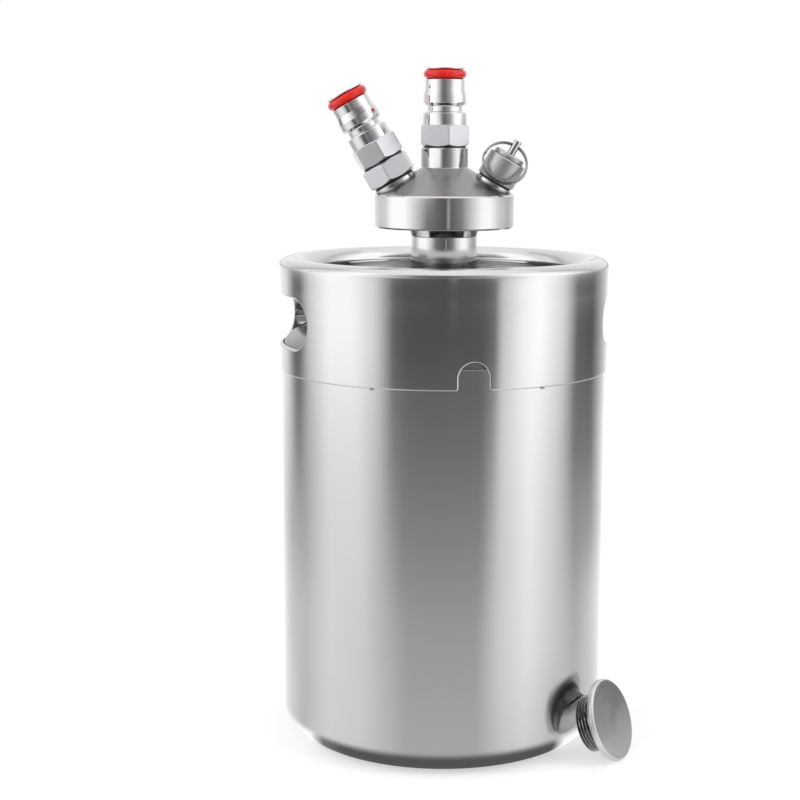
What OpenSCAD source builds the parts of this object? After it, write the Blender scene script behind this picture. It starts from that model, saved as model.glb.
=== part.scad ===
// Mini keg with a screw-in dispensing head: two spring-valve plug-in posts, a relief
// valve with a pull ring, and the screw cap that stands beside the keg.
// Millimetres. The origin is the centre of the base on the floor, +Z is up and the
// front faces -Y.

/* [Keg] */
// Outer diameter of the drawn lower shell
keg_od = 175; // [150:1:200]
// Height of the collar's lower edge above the floor
seam_h = 200.5; // [160:0.5:240]
// How far the lower shell reaches up inside the collar
shell_rise = 10.5; // [8:0.1:10.8]
// Sheet thickness of the lower shell and the top end
sheet_t = 1.0; // [0.8:0.1:1.4]
// Outer radius of the rounded base corner
base_corner_r = 18; // [12:1:24]
// Width of the flat ring that the keg stands on
foot_ring_w = 7; // [4:1:12]
// How far the middle of the base is pushed up
base_rise = 3; // [1:0.5:5]
// Length of the top end's skirt inside the shell
lap_len = 6; // [4:1:12]
// Straight height of the top end's shoulder above the shell
shoulder_h = 0.4; // [0.2:0.1:2]
// Knuckle radius of the top end
knuckle_r = 10; // [7:1:16]
// Crown radius of the top end
crown_r = 380; // [250:5:500]

/* [Collar] */
// Height of the collar, with its rolled rim
collar_h = 60; // [50:1:80]
// Sheet thickness of the collar
collar_t = 0.8; // [0.6:0.1:1.2]
// How far the rolled rim stands proud of the collar
rim_proud = 0.2; // [0.1:0.1:0.6]
// Outer radius of the rolled rim
rim_roll_r = 7; // [5:0.5:9]
// Angle at which the rim's curl ends, from outside over the top
rim_curl_end = 205; // [180:5:230]
// Direction of the first hand hole, seen from above
hand_azimuth = 9.5; // [-30:0.5:30]
// Width of a hand hole
hand_w = 83; // [60:1:90]
// Height of a hand hole
hand_h = 26.2; // [22:0.1:28.4]
// Height of the hand holes' middle above the collar's lower edge
hand_rise = 27.5; // [25:0.1:30]
// Depth of the lip folded in around a hand hole
hand_lip_d = 7.5; // [2:0.5:8]
// Width of a drain notch
notch_w = 15.7; // [10:0.1:24]
// Height of a drain notch
notch_h = 14; // [9:0.5:18]
// Direction of the front drain notch
notch_azimuth = -80; // [-110:1:-60]
// Angles from a notch to the tack welds on its two sides
tack_angles = [-34, 24.5]; // [-45:0.5:45]
// Radius of a tack weld's bead
tack_r = 1.1; // [0.8:0.1:1.4]

/* [Neck] */
// Outer diameter of the threaded neck
neck_od = 46; // [42:1:60]
// How far the neck's top lies below the rim
neck_drop = 11.5; // [8:0.5:16]
// Length of the neck below the top end's outer face
neck_below = 8; // [4:1:12]
// Diameter of the neck's threaded bore
thread_d = 30; // [26:0.5:34]
// Length of thread on the head and on the cap
thread_len = 5.5; // [4:0.5:12]
// Height of the seal's groove above the thread
seal_groove_h = 3; // [2.8:0.1:4]
// Section of the neck seals
neck_seal_d = 2.3; // [1.8:0.1:2.6]
// Size of the weld between neck and top end
neck_weld_r = 3; // [2:0.5:5]

/* [Head] */
// Outer diameter of the head's disc
disc_od = 74.7; // [66:0.1:90]
// Height of the disc's rim
disc_h = 17.8; // [12:0.1:24]
// Chamfer on the disc's edges
disc_chamfer = 0.8; // [0.4:0.1:1.5]
// Outer diameter of the stub between neck and disc
stub_od = 35.4; // [33:0.1:42]
// Length of the stub
stub_len = 26.7; // [15:0.1:40]
// Extra radius of the flare under the disc
stub_flare = 1.25; // [0.5:0.05:2]
// Height of the flare under the disc
stub_flare_h = 4.6; // [2:0.1:8]
// Slope of the cone, and tilt of the two side ports
port_tilt = 30; // [24:1:34]
// Outer diameter of the boss under the middle post
boss_od = 24.9; // [22:0.1:28]
// Height of the boss above the cone
boss_h = 10.5; // [6:0.1:16]
// Distance of the side ports from the middle, along the cone's face
port_r = 26.3; // [24:0.1:30]
// Height of the spot faces above the cone
spot_h = 0.6; // [0.2:0.1:1.5]
// Diameter of the gas chamber in the stub
chamber_d = 22; // [18:0.5:24]
// Height of the gas chamber's roof above the disc's lower face
chamber_rise = 9; // [5:0.5:12]
// Diameter of the drilled gas and liquid ways
way_d = 5; // [3:0.5:6]

/* [Posts] */
// Length of a post from the foot of its hexagon to its top
post_len = 41.5; // [36:0.1:48]
// Width across corners of a post's hexagon
post_hex = 27; // [25:0.1:30]
// Height of a post's hexagon
post_hex_h = 11.9; // [8:0.1:15]
// Diameter of the land above the hexagon
land_d = 23.1; // [22:0.1:25]
// Height of the land's top above the post's foot
land_top = 18.3; // [15:0.1:19]
// Diameter of the locking groove
lock_d = 18.6; // [16:0.1:20]
// Height of the locking groove's top above the post's foot
lock_top = 21.5; // [20:0.1:23]
// Diameter of the barrel's flare over the groove
flare_d = 22.95; // [21.5:0.05:24.5]
// Diameter of the barrel above the flare
barrel_d = 21.2; // [20:0.1:22.4]
// Outer diameter of the red ring
ring_od = 22.7; // [22:0.1:24]
// Section of the red ring
ring_d = 5; // [4:0.1:5.4]
// Thickness of the rim over the red ring
top_rim_t = 0.9; // [0.6:0.1:1.5]
// Turn of the posts' hexagons, from a corner at the front
post_hex_turn = 10.7; // [-30:0.1:30]
// Diameter of the spigots that the posts and the nut screw in with
spigot_d = 15.9; // [12:0.1:17]
// Length of those spigots
spigot_len = 9; // [6:0.5:10]
// Diameter of the valve chamber in a post
valve_d = 10; // [8:0.1:10.4]
// Diameter of the opening in a post's top
mouth_d = 8; // [6:0.1:8.6]
// Diameter of the recess round that opening
recess_d = 9.3; // [8.8:0.1:11]
// Diameter of a valve's pin
pin_d = 3.4; // [2.4:0.1:4]
// How far a valve's pin lies below the post's top
pin_drop = 0.9; // [0.3:0.1:2]
// How far a valve's pin can be pressed in
pin_travel = 3; // [2:0.5:4]
// Section of a valve's seal
valve_seal_d = 1.6; // [1.2:0.1:2]
// Height of the spring's ledge above the post's foot
ledge_h = 21; // [14:0.5:23]
// Wire of the valve springs
valve_wire = 0.9; // [0.6:0.1:1.1]
// Curls of the valve springs
valve_curls = 6; // [4:1:8]

/* [Side nut] */
// Width across corners of the nut under the slanted post
nut_hex = 28.4; // [26:0.1:31]
// Height of that nut
nut_h = 11; // [8:0.1:15]
// Turn of that nut, from a corner at the front
nut_turn = -5; // [-30:1:30]
// Height of the flat seals under the nut, the posts and the relief valve
flat_seal_t = 1; // [0.6:0.1:2]

/* [Relief valve] */
// Turn of the relief port towards the front
relief_azimuth = -5; // [-30:1:30]
// Outer diameter of the relief valve's cup
relief_od = 20.8; // [18:0.1:23]
// Height of the cup
relief_h = 13.5; // [10:0.1:18]
// Wall of the cup
relief_wall = 1.3; // [1:0.1:2]
// Height of the cup's floor
relief_floor = 4; // [3:0.1:6]
// Diameter of the screwed spigot under the cup
relief_spigot_d = 12; // [10.6:0.1:14]
// Diameter of the bonnet's foot
bonnet_foot_d = 11.6; // [11:0.1:13]
// Diameter of the bonnet's top
bonnet_top_d = 17; // [14:0.1:18]
// Height of the bonnet's top above the port's face
bonnet_top = 17; // [15:0.1:22]
// Diameter of the spring chamber
relief_chamber_d = 9.2; // [8.6:0.1:9.8]
// Diameter of the pulled stem
stem_d = 4.6; // [4.2:0.1:5]
// How far the stem stands above the bonnet
stem_stand = 8.5; // [7:0.1:14]
// Diameter of the stem's cross hole
stem_hole_d = 3.4; // [3.2:0.1:3.6]
// How far the stem can be pulled
stem_travel = 3; // [2:0.5:4]
// Wire of the relief spring
relief_wire = 1; // [0.8:0.1:1.1]
// Curls of the relief spring
relief_curls = 7; // [5:1:8]
// Outer diameter of the pull ring
pull_ring_od = 25; // [24:0.1:30]
// Wire of the pull ring
pull_ring_wire = 1.2; // [1:0.1:1.3]
// Angle between stem and pull ring at rest, where the ring leans on the cup
pull_ring_lean = 31; // [30:1:80]

/* [Liquid tube] */
// Outer diameter of the liquid stem's pipe
pipe_d = 7.8; // [7:0.1:9]
// Diameter of the pipe's screwed top
pipe_screw_d = 12; // [10:0.1:13]
// Length of the pipe below the gas chamber's roof
pipe_len = 62; // [45:1:70]
// Inner diameter of the soft tube
tube_id = 6; // [5:0.5:7]
// Outer diameter of the soft tube
tube_od = 9; // [8:0.5:11]
// Gap between the soft tube's end and the keg's bottom
tube_gap = 3; // [2:0.5:10]
// Number of barbs under the soft tube
barbs = 3; // [2:1:4]
// Height of a barb
barb_h = 4; // [3:0.5:5]

/* [Cap] */
// Diameter of the screw cap
cap_od = 43.4; // [42:0.1:56]
// Thickness of the screw cap's disc
cap_t = 3.7; // [3:0.1:6]
// Radius of the disc's rounded edges
cap_edge_r = 1.2; // [0.4:0.1:1.5]
// Length of the cap's thread
cap_thread_len = 7.6; // [4:0.1:12]
// Direction in which the cap stands beside the keg
cap_azimuth = -31.5; // [-80:0.5:-10]
// How far the cap is turned from facing straight away from the keg
cap_turn = 2.5; // [-5:0.5:5]
// How far the cap's face leans back
cap_lean = 20; // [5:0.5:25]

/* [Clearances] */
// Gap between curved faces of pieces that move apart
rest_gap = 0.3; // [0.2:0.05:0.5]
// Radial gap of the head's thread in the neck
thread_gap = 0.07; // [0.03:0.01:0.1]
// Radial gap of the relief stem in its bonnet
stem_gap = 0.08; // [0.03:0.01:0.1]
// Gap between screwed or lapped pieces of one body
joint_gap = 0.05; // [0.02:0.01:0.1]

/* [Hidden] */
$fn = 96;
// Overshoot of cutting shapes past the faces that they cut
cut = 1;

// Keg
keg_r = keg_od / 2;
shell_h = seam_h + shell_rise;
end_r = keg_r - sheet_t - joint_gap;
knuckle_x = end_r - knuckle_r;
knuckle_z = shell_h + shoulder_h;
// The crown's arc is sunk a little into the knuckle's, so that the two cross
crown_sink = 0.03;
crown_z = knuckle_z - sqrt(pow(crown_r - knuckle_r, 2) - pow(knuckle_x, 2)) - crown_sink;
crown_angle = asin(knuckle_x / (crown_r - knuckle_r));
foot_in_r = keg_r - base_corner_r - foot_ring_w;
// Run of the pushed-up base's slope for each unit of its rise
base_slope = 2;
rim_z = seam_h + collar_h;
collar_in_r = keg_r + joint_gap;
collar_r = collar_in_r + collar_t;
roll_x = collar_r + rim_proud - rim_roll_r;
roll_z = rim_z - rim_roll_r;
// Angle at which the curl leaves the collar's outer face
roll_start = -acos((collar_r - roll_x) / rim_roll_r);

// Neck
neck_r = neck_od / 2;
neck_z = rim_z - neck_drop;
bore_r = thread_d / 2;
screw_r = bore_r - thread_gap;
// How far the seal's groove is cut into the thread
seal_groove_d = 1;
seal_groove_r = bore_r - rest_gap - seal_groove_d;
neck_seal_mean_r = seal_groove_r + rest_gap + neck_seal_d / 2;
// Counterbore in the neck's mouth for the seal
mouth_r = neck_seal_mean_r + neck_seal_d / 2 + rest_gap;
mouth_depth = seal_groove_h - rest_gap;

// Head
shoulder_z = neck_z + rest_gap;
thread_top_z = shoulder_z - seal_groove_h;
thread_end_z = thread_top_z - thread_len;
neck_seal_z = shoulder_z - rest_gap - neck_seal_d / 2;
disc_r = disc_od / 2;
stub_r = stub_od / 2;
disc_z = shoulder_z + stub_len;
disc_top_z = disc_z + disc_h;
boss_r = boss_od / 2;
boss_z = cone_z(boss_r) + boss_h;
chamber_z = disc_z + chamber_rise;
spigot_r = spigot_d / 2;
port_bore_r = spigot_r + joint_gap;
// Depth of a port below its face
port_depth = spigot_len + cut - flat_seal_t;

// Posts
// Play of the red ring along its groove
ring_play = 0.1;
ring_mean_r = (ring_od - ring_d) / 2;
ring_top = post_len - top_rim_t;
ring_z = ring_top - ring_play - ring_d / 2;
ring_low = ring_z - ring_d / 2 - ring_play;
ring_groove_r = ring_mean_r - ring_d / 2 - joint_gap;
land_bevel = 0.6;
// Heights above the locking groove where the barrel's flare is full, ends and fades
flare_full = 1.6;
flare_end = 5.2;
flare_fade = 9;
valve_r = valve_d / 2;
mouth_hole_r = mouth_d / 2;
// Length of the mouth, and height of the cone below it that the valve's seal closes on
mouth_len = 1.8;
seat_h = 1.4;
seat_top = post_len - mouth_len;
seat_low = seat_top - seat_h;
// Wall of the valve's hub between its pin and its seal
valve_hub_t = 0.9;
valve_seal_mean_r = pin_d / 2 + valve_hub_t + valve_seal_d / 2;
// How far the seal's middle stands in the cone
seal_rise = 0.35;
valve_seal_z = seat_low + seal_rise;
valve_disc_top = valve_seal_z - valve_seal_d / 2 - joint_gap;
valve_disc_t = 2.6;
valve_spring_top = valve_disc_top - valve_disc_t - rest_gap;
// Play of the valve and of its spring in the chamber
valve_play = 0.6;
coil_play = 1;
valve_coil_r = valve_r - coil_play - valve_wire / 2;
// Length of the valve's guide inside its spring
valve_guide_len = 6;
pin_bevel = 0.3;
// How far the flat seals lie inside what presses on them
seal_inset = 1;
post_foot = flat_seal_t / 2;
nut_top = flat_seal_t + nut_h;

// Relief valve
relief_r = relief_od / 2;
chamber_r = relief_chamber_d / 2;
stem_r = stem_d / 2;
stem_top = bonnet_top + stem_stand;
cross_z = stem_top - stem_hole_d;
relief_foot = flat_seal_t;
relief_top = relief_foot + relief_h;
relief_spigot_r = relief_spigot_d / 2;
relief_seat_t = 1.6;
seat_z = relief_foot - spigot_len + relief_seat_t;
pad_t = 1.1;
// Plate at the stem's foot, which the spring presses on
plate_t = 2;
plate_r = chamber_r - 0.4;
plate_z = seat_z + rest_gap + pad_t + joint_gap;
bonnet_roof = 2.5;
// Height of the bonnet's straight rim
bonnet_rim_h = 2;
relief_bevel = 0.5;
ring_wire_r = pull_ring_wire / 2;
pull_mean_r = pull_ring_od / 2 - ring_wire_r;

// Cap
plug_len = seal_groove_h + cap_thread_len;
cap_r = cap_od / 2;
screw_chamfer = 0.8;
cap_depth = cap_t + plug_len;
cap_reach = cap_depth * cos(cap_lean) + (screw_r - screw_chamfer) * sin(cap_lean);
cap_x = keg_r + rest_gap + cap_reach;
cap_z = (cap_r - cap_edge_r) * cos(cap_lean) + (cap_t - cap_edge_r) * sin(cap_lean) + cap_edge_r;

// Height of the head's cone at a radius
function cone_z(r) = disc_top_z + (disc_r - disc_chamfer - r) * tan(port_tilt);
// Height of the top end's outer face at a radius
function crown_height(r) = crown_z + sqrt(pow(crown_r, 2) - pow(r, 2));

// Stretches of a coil for each curl
coil_steps = 8;
// Points along a coil, from its foot at z = 0
function coil_path(mean_r, length, wire, curls) = [
  for (i = [0 : coil_steps * curls])
    let (t = i / (coil_steps * curls), a = 360 * curls * t)
    [mean_r * cos(a), mean_r * sin(a), wire / 2 + (length - wire) * t]
];
// Least gap between stretches of a coil that lie more than half a curl apart
function coil_gap(path, wire) = let (apart = coil_steps / 2 + 1) min([
  for (i = [0 : len(path) - 1 - apart])
    for (j = [i + apart : len(path) - 1])
      norm(path[j] - path[i])
]) - wire;

// A place on a side port: +X is the port's side, its axis leans out by the tilt
module on_port(azimuth) {
  rotate([0, 0, azimuth])
    translate([port_r, 0, cone_z(port_r)])
      rotate([0, port_tilt, 0])
        translate([0, 0, spot_h])
          children();
}

// The slanted post stands on the left, the relief valve on the right
module on_side_port() {
  on_port(180) rotate([0, 0, 180]) children();
}

module on_relief_port() {
  on_port(relief_azimuth) children();
}

module on_mid_port() {
  translate([0, 0, boss_z]) children();
}

// An outline pushed along the radius at an azimuth, with its own y upwards
module push_out(azimuth, z, from, to) {
  rotate([0, 0, azimuth])
    translate([from, 0, z])
      rotate([90, 0, 90])
        linear_extrude(height = to - from)
          children();
}

module stadium_2d(w, h) {
  square([w - h, h], center = true);
  for (side = [-1, 1])
    translate([side * (w - h) / 2, 0])
      circle(d = h);
}

module o_ring(mean_r, section) {
  rotate_extrude()
    translate([mean_r, 0])
      circle(d = section);
}

// A hexagonal bar with turned chamfers; a corner faces -Y before the turn
module hex_bar(corners, h, turn) {
  // The turned faces end just inside the flats and run out past the corners
  inside = 0.6;
  face_r = corners / 2 * cos(30) - inside;
  run = corners / 2 + cut - face_r;
  bevel = run * tan(30);
  intersection() {
    rotate([0, 0, turn - 90])
      cylinder(d = corners, h = h, $fn = 6);
    rotate_extrude()
      polygon([
        [0, 0],
        [face_r, 0],
        [face_r + run, bevel],
        [face_r + run, h - bevel],
        [face_r, h],
        [0, h]
      ]);
  }
}

// A coil spring as one tube of six sides, its foot at z = 0
module coil_spring(mean_r, length, wire, curls) {
  path = coil_path(mean_r, length, wire, curls);
  sides = 6;
  last = len(path) - 1;
  rise = (length - wire) / curls;
  tilt = atan2(rise, 2 * PI * mean_r);
  points = [
    for (i = [0 : last])
      let (a = 360 / coil_steps * i)
      for (k = [0 : sides - 1])
        let (
          out = wire / 2 * cos(360 * k / sides),
          up = wire / 2 * sin(360 * k / sides)
        )
        path[i] + [
          out * cos(a) + up * sin(tilt) * sin(a),
          out * sin(a) - up * sin(tilt) * cos(a),
          up * cos(tilt)
        ]
  ];
  walls = [
    for (i = [0 : last - 1])
      for (k = [0 : sides - 1])
        let (
          a = i * sides + k,
          b = i * sides + (k + 1) % sides,
          c = a + sides,
          d = b + sides
        )
        each [[a, b, c], [b, d, c]]
  ];
  ends = [
    for (k = [1 : sides - 2])
      each [
        [0, k + 1, k],
        [last * sides, last * sides + k, last * sides + k + 1]
      ]
  ];
  echo(curls = curls, least_gap = coil_gap(path, wire));
  polyhedron(points = points, faces = concat(walls, ends));
}

// Outline of a round cup with a rounded lower corner
module cup_2d(r, corner, top) {
  translate([0, corner])
    square([r, top - corner]);
  square([r - corner, top]);
  translate([r - corner, corner])
    circle(corner);
}

module base_rise_2d(h) {
  polygon([
    [0, -cut],
    [0, h],
    [foot_in_r - base_slope * base_rise, h],
    [foot_in_r + base_slope * (h - base_rise), 0],
    [foot_in_r + base_slope * (h - base_rise), -cut]
  ]);
}

module lower_shell() {
  color("gainsboro")
    rotate_extrude($fn = 180)
      difference() {
        cup_2d(keg_r, base_corner_r, shell_h);
        difference() {
          translate([0, sheet_t])
            cup_2d(keg_r - sheet_t, base_corner_r - sheet_t, shell_h);
          base_rise_2d(base_rise + sheet_t);
        }
        base_rise_2d(base_rise);
      }
}

// Outline of the domed top end, drawn in by an inset, from z upwards
module end_2d(inset, z) {
  far = 1.2 * crown_r;
  translate([0, z])
    square([end_r - inset, knuckle_z - z]);
  intersection() {
    translate([knuckle_x, knuckle_z])
      circle(knuckle_r - inset);
    translate([0, z])
      square([keg_od, crown_r]);
  }
  intersection() {
    translate([0, crown_z])
      circle(crown_r - inset, $fn = 360);
    polygon([
      [0, crown_z],
      [far * sin(crown_angle), crown_z + far * cos(crown_angle)],
      [0, crown_z + far]
    ]);
    translate([0, z])
      square([keg_od, crown_r]);
  }
}

// Room that the lips of the hand holes leave to the shell's edge and the top end
module shoulder_room_2d() {
  end_2d(-rest_gap, seam_h);
  square([collar_in_r, shell_h + rest_gap]);
}

module top_end() {
  skirt_z = shell_h - lap_len;
  color("silver")
    rotate_extrude($fn = 180)
      difference() {
        end_2d(0, skirt_z);
        end_2d(sheet_t, skirt_z - cut);
        square([neck_r + joint_gap, rim_z]);
      }
}

// Section of the rolled rim
module rim_2d() {
  far = 2 * rim_roll_r;
  translate([roll_x, roll_z])
    difference() {
      circle(rim_roll_r);
      circle(rim_roll_r - collar_t);
      polygon([
        [0, 0],
        far * [cos(rim_curl_end), sin(rim_curl_end)],
        far * [cos(270), sin(270)],
        far * [cos(roll_start), sin(roll_start)]
      ]);
    }
}

module hand_hole_2d(margin) {
  stadium_2d(hand_w + 2 * margin, hand_h + 2 * margin);
}

// Lip folded in around a hand hole, trimmed over the top end
module hand_lip(azimuth) {
  difference() {
    intersection() {
      push_out(azimuth, seam_h + hand_rise, 0, collar_r)
        difference() {
          hand_hole_2d(collar_t);
          hand_hole_2d(0);
        }
      difference() {
        cylinder(r = collar_r - collar_t / 2, h = rim_z);
        translate([0, 0, -cut])
          cylinder(r = collar_in_r - hand_lip_d, h = rim_z + 2 * cut);
      }
    }
    rotate_extrude()
      shoulder_room_2d();
  }
}

module collar() {
  azimuths = [hand_azimuth, hand_azimuth + 180];
  color("silver") {
    difference() {
      rotate_extrude($fn = 180) {
        translate([collar_in_r, seam_h])
          square([collar_t, roll_z - seam_h]);
        rim_2d();
      }
      for (azimuth = azimuths)
        push_out(azimuth, seam_h + hand_rise, 0, collar_r + cut)
          hand_hole_2d(0);
      for (azimuth = [notch_azimuth, notch_azimuth + 180])
        push_out(azimuth, seam_h, 0, collar_r + cut) {
          translate([-notch_w / 2, -cut])
            square([notch_w, notch_h - notch_w / 2 + cut]);
          translate([0, notch_h - notch_w / 2])
            circle(d = notch_w);
        }
    }
    for (azimuth = azimuths)
      hand_lip(azimuth);
  }
}

// Beads of the tack welds, sunk into the seam
module tack_welds() {
  color("gray")
    for (side = [0, 180])
      for (turn = tack_angles)
        rotate([0, 0, notch_azimuth + side + turn])
          translate([collar_in_r + collar_t / 2, 0, seam_h])
            sphere(tack_r);
}

module neck() {
  bevel = 0.8;
  foot_z = crown_height(neck_r) - neck_below;
  color("silver")
    rotate_extrude()
      polygon([
        [bore_r + bevel, foot_z],
        [neck_r - bevel, foot_z],
        [neck_r, foot_z + bevel],
        [neck_r, neck_z - bevel],
        [neck_r - bevel, neck_z],
        [mouth_r, neck_z],
        [mouth_r, neck_z - mouth_depth],
        [bore_r, neck_z - mouth_depth],
        [bore_r, foot_z + bevel]
      ]);
}

// Fillet weld between the neck and the top end
module neck_weld() {
  in_r = neck_r + joint_gap;
  mid_r = in_r + neck_weld_r / 3;
  out_r = in_r + neck_weld_r;
  color("gray")
    rotate_extrude()
      polygon([
        [in_r, crown_height(in_r) + joint_gap],
        [out_r, crown_height(out_r) + joint_gap],
        [mid_r, crown_height(mid_r) + neck_weld_r / 3],
        [in_r, crown_height(in_r) + neck_weld_r]
      ]);
}

module neck_seal() {
  color("black")
    translate([0, 0, neck_seal_z])
      o_ring(neck_seal_mean_r, neck_seal_d);
}

// Outside of the turned head
module head_2d() {
  polygon([
    [0, thread_end_z],
    [screw_r - screw_chamfer, thread_end_z],
    [screw_r, thread_end_z + screw_chamfer],
    [screw_r, thread_top_z],
    [seal_groove_r, thread_top_z],
    [seal_groove_r, shoulder_z],
    [stub_r, shoulder_z],
    [stub_r, disc_z - stub_flare_h],
    [stub_r + stub_flare, disc_z - disc_chamfer],
    [stub_r + stub_flare, disc_z],
    [disc_r - disc_chamfer, disc_z],
    [disc_r, disc_z + disc_chamfer],
    [disc_r, disc_top_z - disc_chamfer],
    [disc_r - disc_chamfer, disc_top_z],
    [boss_r, cone_z(boss_r)],
    [boss_r, boss_z],
    [0, boss_z]
  ]);
}

// A bored port with its drilled way onwards
module port_bore(bore, depth, way_len) {
  translate([0, 0, -depth])
    cylinder(r = bore, h = depth + spot_h + cut);
  translate([0, 0, -way_len])
    cylinder(d = way_d, h = way_len);
}

module head() {
  // Drilled ways end inside the gas chamber
  way_len = (port_r - chamber_d / 4) / sin(port_tilt);
  color("lightgray")
    difference() {
      union() {
        rotate_extrude()
          head_2d();
        on_side_port()
          translate([0, 0, -spot_h - port_depth / 2])
            cylinder(d = nut_hex * cos(30), h = spot_h + port_depth / 2);
        on_relief_port()
          translate([0, 0, -spot_h - port_depth / 2])
            cylinder(r = relief_r, h = spot_h + port_depth / 2);
      }
      translate([0, 0, thread_end_z - cut])
        cylinder(d = chamber_d, h = chamber_z - thread_end_z + cut);
      translate([0, 0, chamber_z - cut])
        cylinder(d = way_d, h = boss_z - chamber_z + cut);
      translate([0, 0, chamber_z - cut])
        cylinder(d = pipe_screw_d + 2 * joint_gap, h = spigot_len + 2 * cut);
      on_mid_port()
        translate([0, 0, -port_depth])
          cylinder(r = port_bore_r, h = port_depth + cut);
      on_side_port()
        port_bore(port_bore_r, port_depth, way_len);
      on_relief_port()
        port_bore(relief_spigot_r + joint_gap, port_depth, way_len);
    }
}

// Pipe that carries the liquid from the barbs up to the middle post
module liquid_stem() {
  barb_root = tube_id / 2 - 0.1;
  barb_top = tube_id / 2 + 0.5;
  pipe_bore_d = tube_id - 2;
  pipe_hex = pipe_screw_d + 4;
  pipe_hex_h = 4;
  end_z = chamber_z - pipe_len;
  color("silver")
    difference() {
      union() {
        translate([0, 0, chamber_z - cut])
          cylinder(d = pipe_screw_d, h = spigot_len + cut);
        translate([0, 0, chamber_z - pipe_hex_h])
          hex_bar(pipe_hex, pipe_hex_h, 0);
        translate([0, 0, end_z + barbs * barb_h])
          cylinder(d = pipe_d, h = pipe_len - barbs * barb_h);
        for (i = [0 : barbs - 1])
          translate([0, 0, end_z + i * barb_h])
            cylinder(r1 = barb_root, r2 = barb_top, h = barb_h);
      }
      translate([0, 0, end_z - cut])
        cylinder(d = pipe_bore_d, h = pipe_len + spigot_len + 2 * cut);
    }
}

module soft_tube() {
  low_z = base_rise + sheet_t + tube_gap;
  top_z = chamber_z - pipe_len + barbs * barb_h - joint_gap;
  color("whitesmoke")
    translate([0, 0, low_z])
      difference() {
        cylinder(d = tube_od, h = top_z - low_z);
        translate([0, 0, -cut])
          cylinder(d = tube_id, h = top_z - low_z + 2 * cut);
      }
}

// Outside of a post above its hexagon, with its screwed spigot below
module post_2d() {
  top_bevel = 0.4;
  polygon([
    [0, -spigot_len],
    [spigot_r - screw_chamfer, -spigot_len],
    [spigot_r, -spigot_len + screw_chamfer],
    [spigot_r, 0],
    [land_d / 2, post_hex_h / 2],
    [land_d / 2, land_top - land_bevel],
    [land_d / 2 - land_bevel, land_top],
    [lock_d / 2, land_top],
    [lock_d / 2, lock_top],
    [barrel_d / 2, lock_top],
    [flare_d / 2, lock_top + flare_full],
    [flare_d / 2, lock_top + flare_end],
    [barrel_d / 2, lock_top + flare_fade],
    [barrel_d / 2, ring_low],
    [ring_groove_r, ring_low],
    [ring_groove_r, ring_top],
    [barrel_d / 2, ring_top],
    [barrel_d / 2, post_len - top_bevel],
    [barrel_d / 2 - top_bevel, post_len],
    [0, post_len]
  ]);
}

// Valve chamber of a post, with its seat, mouth and recess
module post_bore_2d() {
  recess_drop = (recess_d - mouth_d) / 2;
  polygon([
    [0, -spigot_len - cut],
    [way_d / 2, -spigot_len - cut],
    [way_d / 2, ledge_h],
    [valve_r, ledge_h],
    [valve_r, seat_low],
    [mouth_hole_r, seat_top],
    [mouth_hole_r, post_len - recess_drop],
    [recess_d / 2, post_len],
    [recess_d / 2, post_len + cut],
    [0, post_len + cut]
  ]);
}

module post() {
  color("lightgray")
    difference() {
      union() {
        rotate_extrude()
          post_2d();
        hex_bar(post_hex, post_hex_h, post_hex_turn);
      }
      rotate_extrude()
        post_bore_2d();
    }
}

module post_ring() {
  color("red")
    translate([0, 0, ring_z])
      o_ring(ring_mean_r, ring_d);
}

module flat_seal(outer_r, inner_r, t) {
  color("black")
    difference() {
      cylinder(r = outer_r, h = t);
      translate([0, 0, -cut])
        cylinder(r = inner_r, h = t + 2 * cut);
    }
}

// Valve disc with its pin above and its guide inside the spring
module valve() {
  plate_r = valve_r - valve_play;
  hub_r = pin_d / 2 + valve_hub_t - joint_gap;
  guide_r = valve_coil_r - valve_wire / 2 - valve_play;
  disc_low = valve_disc_top - valve_disc_t;
  color("darkgray")
    rotate_extrude()
      polygon([
        [0, disc_low - valve_guide_len],
        [guide_r, disc_low - valve_guide_len],
        [guide_r, disc_low],
        [plate_r, disc_low],
        [plate_r, valve_disc_top],
        [hub_r, valve_disc_top],
        [hub_r, valve_seal_z + valve_seal_d / 2],
        [pin_d / 2, valve_seal_z + valve_seal_d / 2],
        [pin_d / 2, post_len - pin_drop - pin_bevel],
        [pin_d / 2 - pin_bevel, post_len - pin_drop],
        [0, post_len - pin_drop]
      ]);
}

module valve_seal() {
  color("black")
    translate([0, 0, valve_seal_z])
      o_ring(valve_seal_mean_r, valve_seal_d);
}

module valve_spring() {
  low = ledge_h + joint_gap;
  color("gray")
    translate([0, 0, low])
      coil_spring(valve_coil_r, valve_spring_top - low, valve_wire, valve_curls);
}

module on_mid_post() {
  on_mid_port() translate([0, 0, post_foot]) children();
}

module on_side_post() {
  on_side_port() translate([0, 0, nut_top + post_foot]) children();
}

module mid_post() { on_mid_post() post(); }
module mid_post_ring() { on_mid_post() post_ring(); }
module mid_valve() { on_mid_post() valve(); }
module mid_valve_seal() { on_mid_post() valve_seal(); }
module mid_spring() { on_mid_post() valve_spring(); }
module side_post() { on_side_post() post(); }
module side_post_ring() { on_side_post() post_ring(); }
module side_valve() { on_side_post() valve(); }
module side_valve_seal() { on_side_post() valve_seal(); }
module side_spring() { on_side_post() valve_spring(); }

// Thin seals between the posts and what they stand on
module mid_post_seal() {
  on_mid_port() flat_seal(boss_r - seal_inset, spigot_r + joint_gap, post_foot);
}

module side_post_seal() {
  on_side_port()
    translate([0, 0, nut_top])
      flat_seal(boss_r - seal_inset, spigot_r + joint_gap, post_foot);
}

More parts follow.
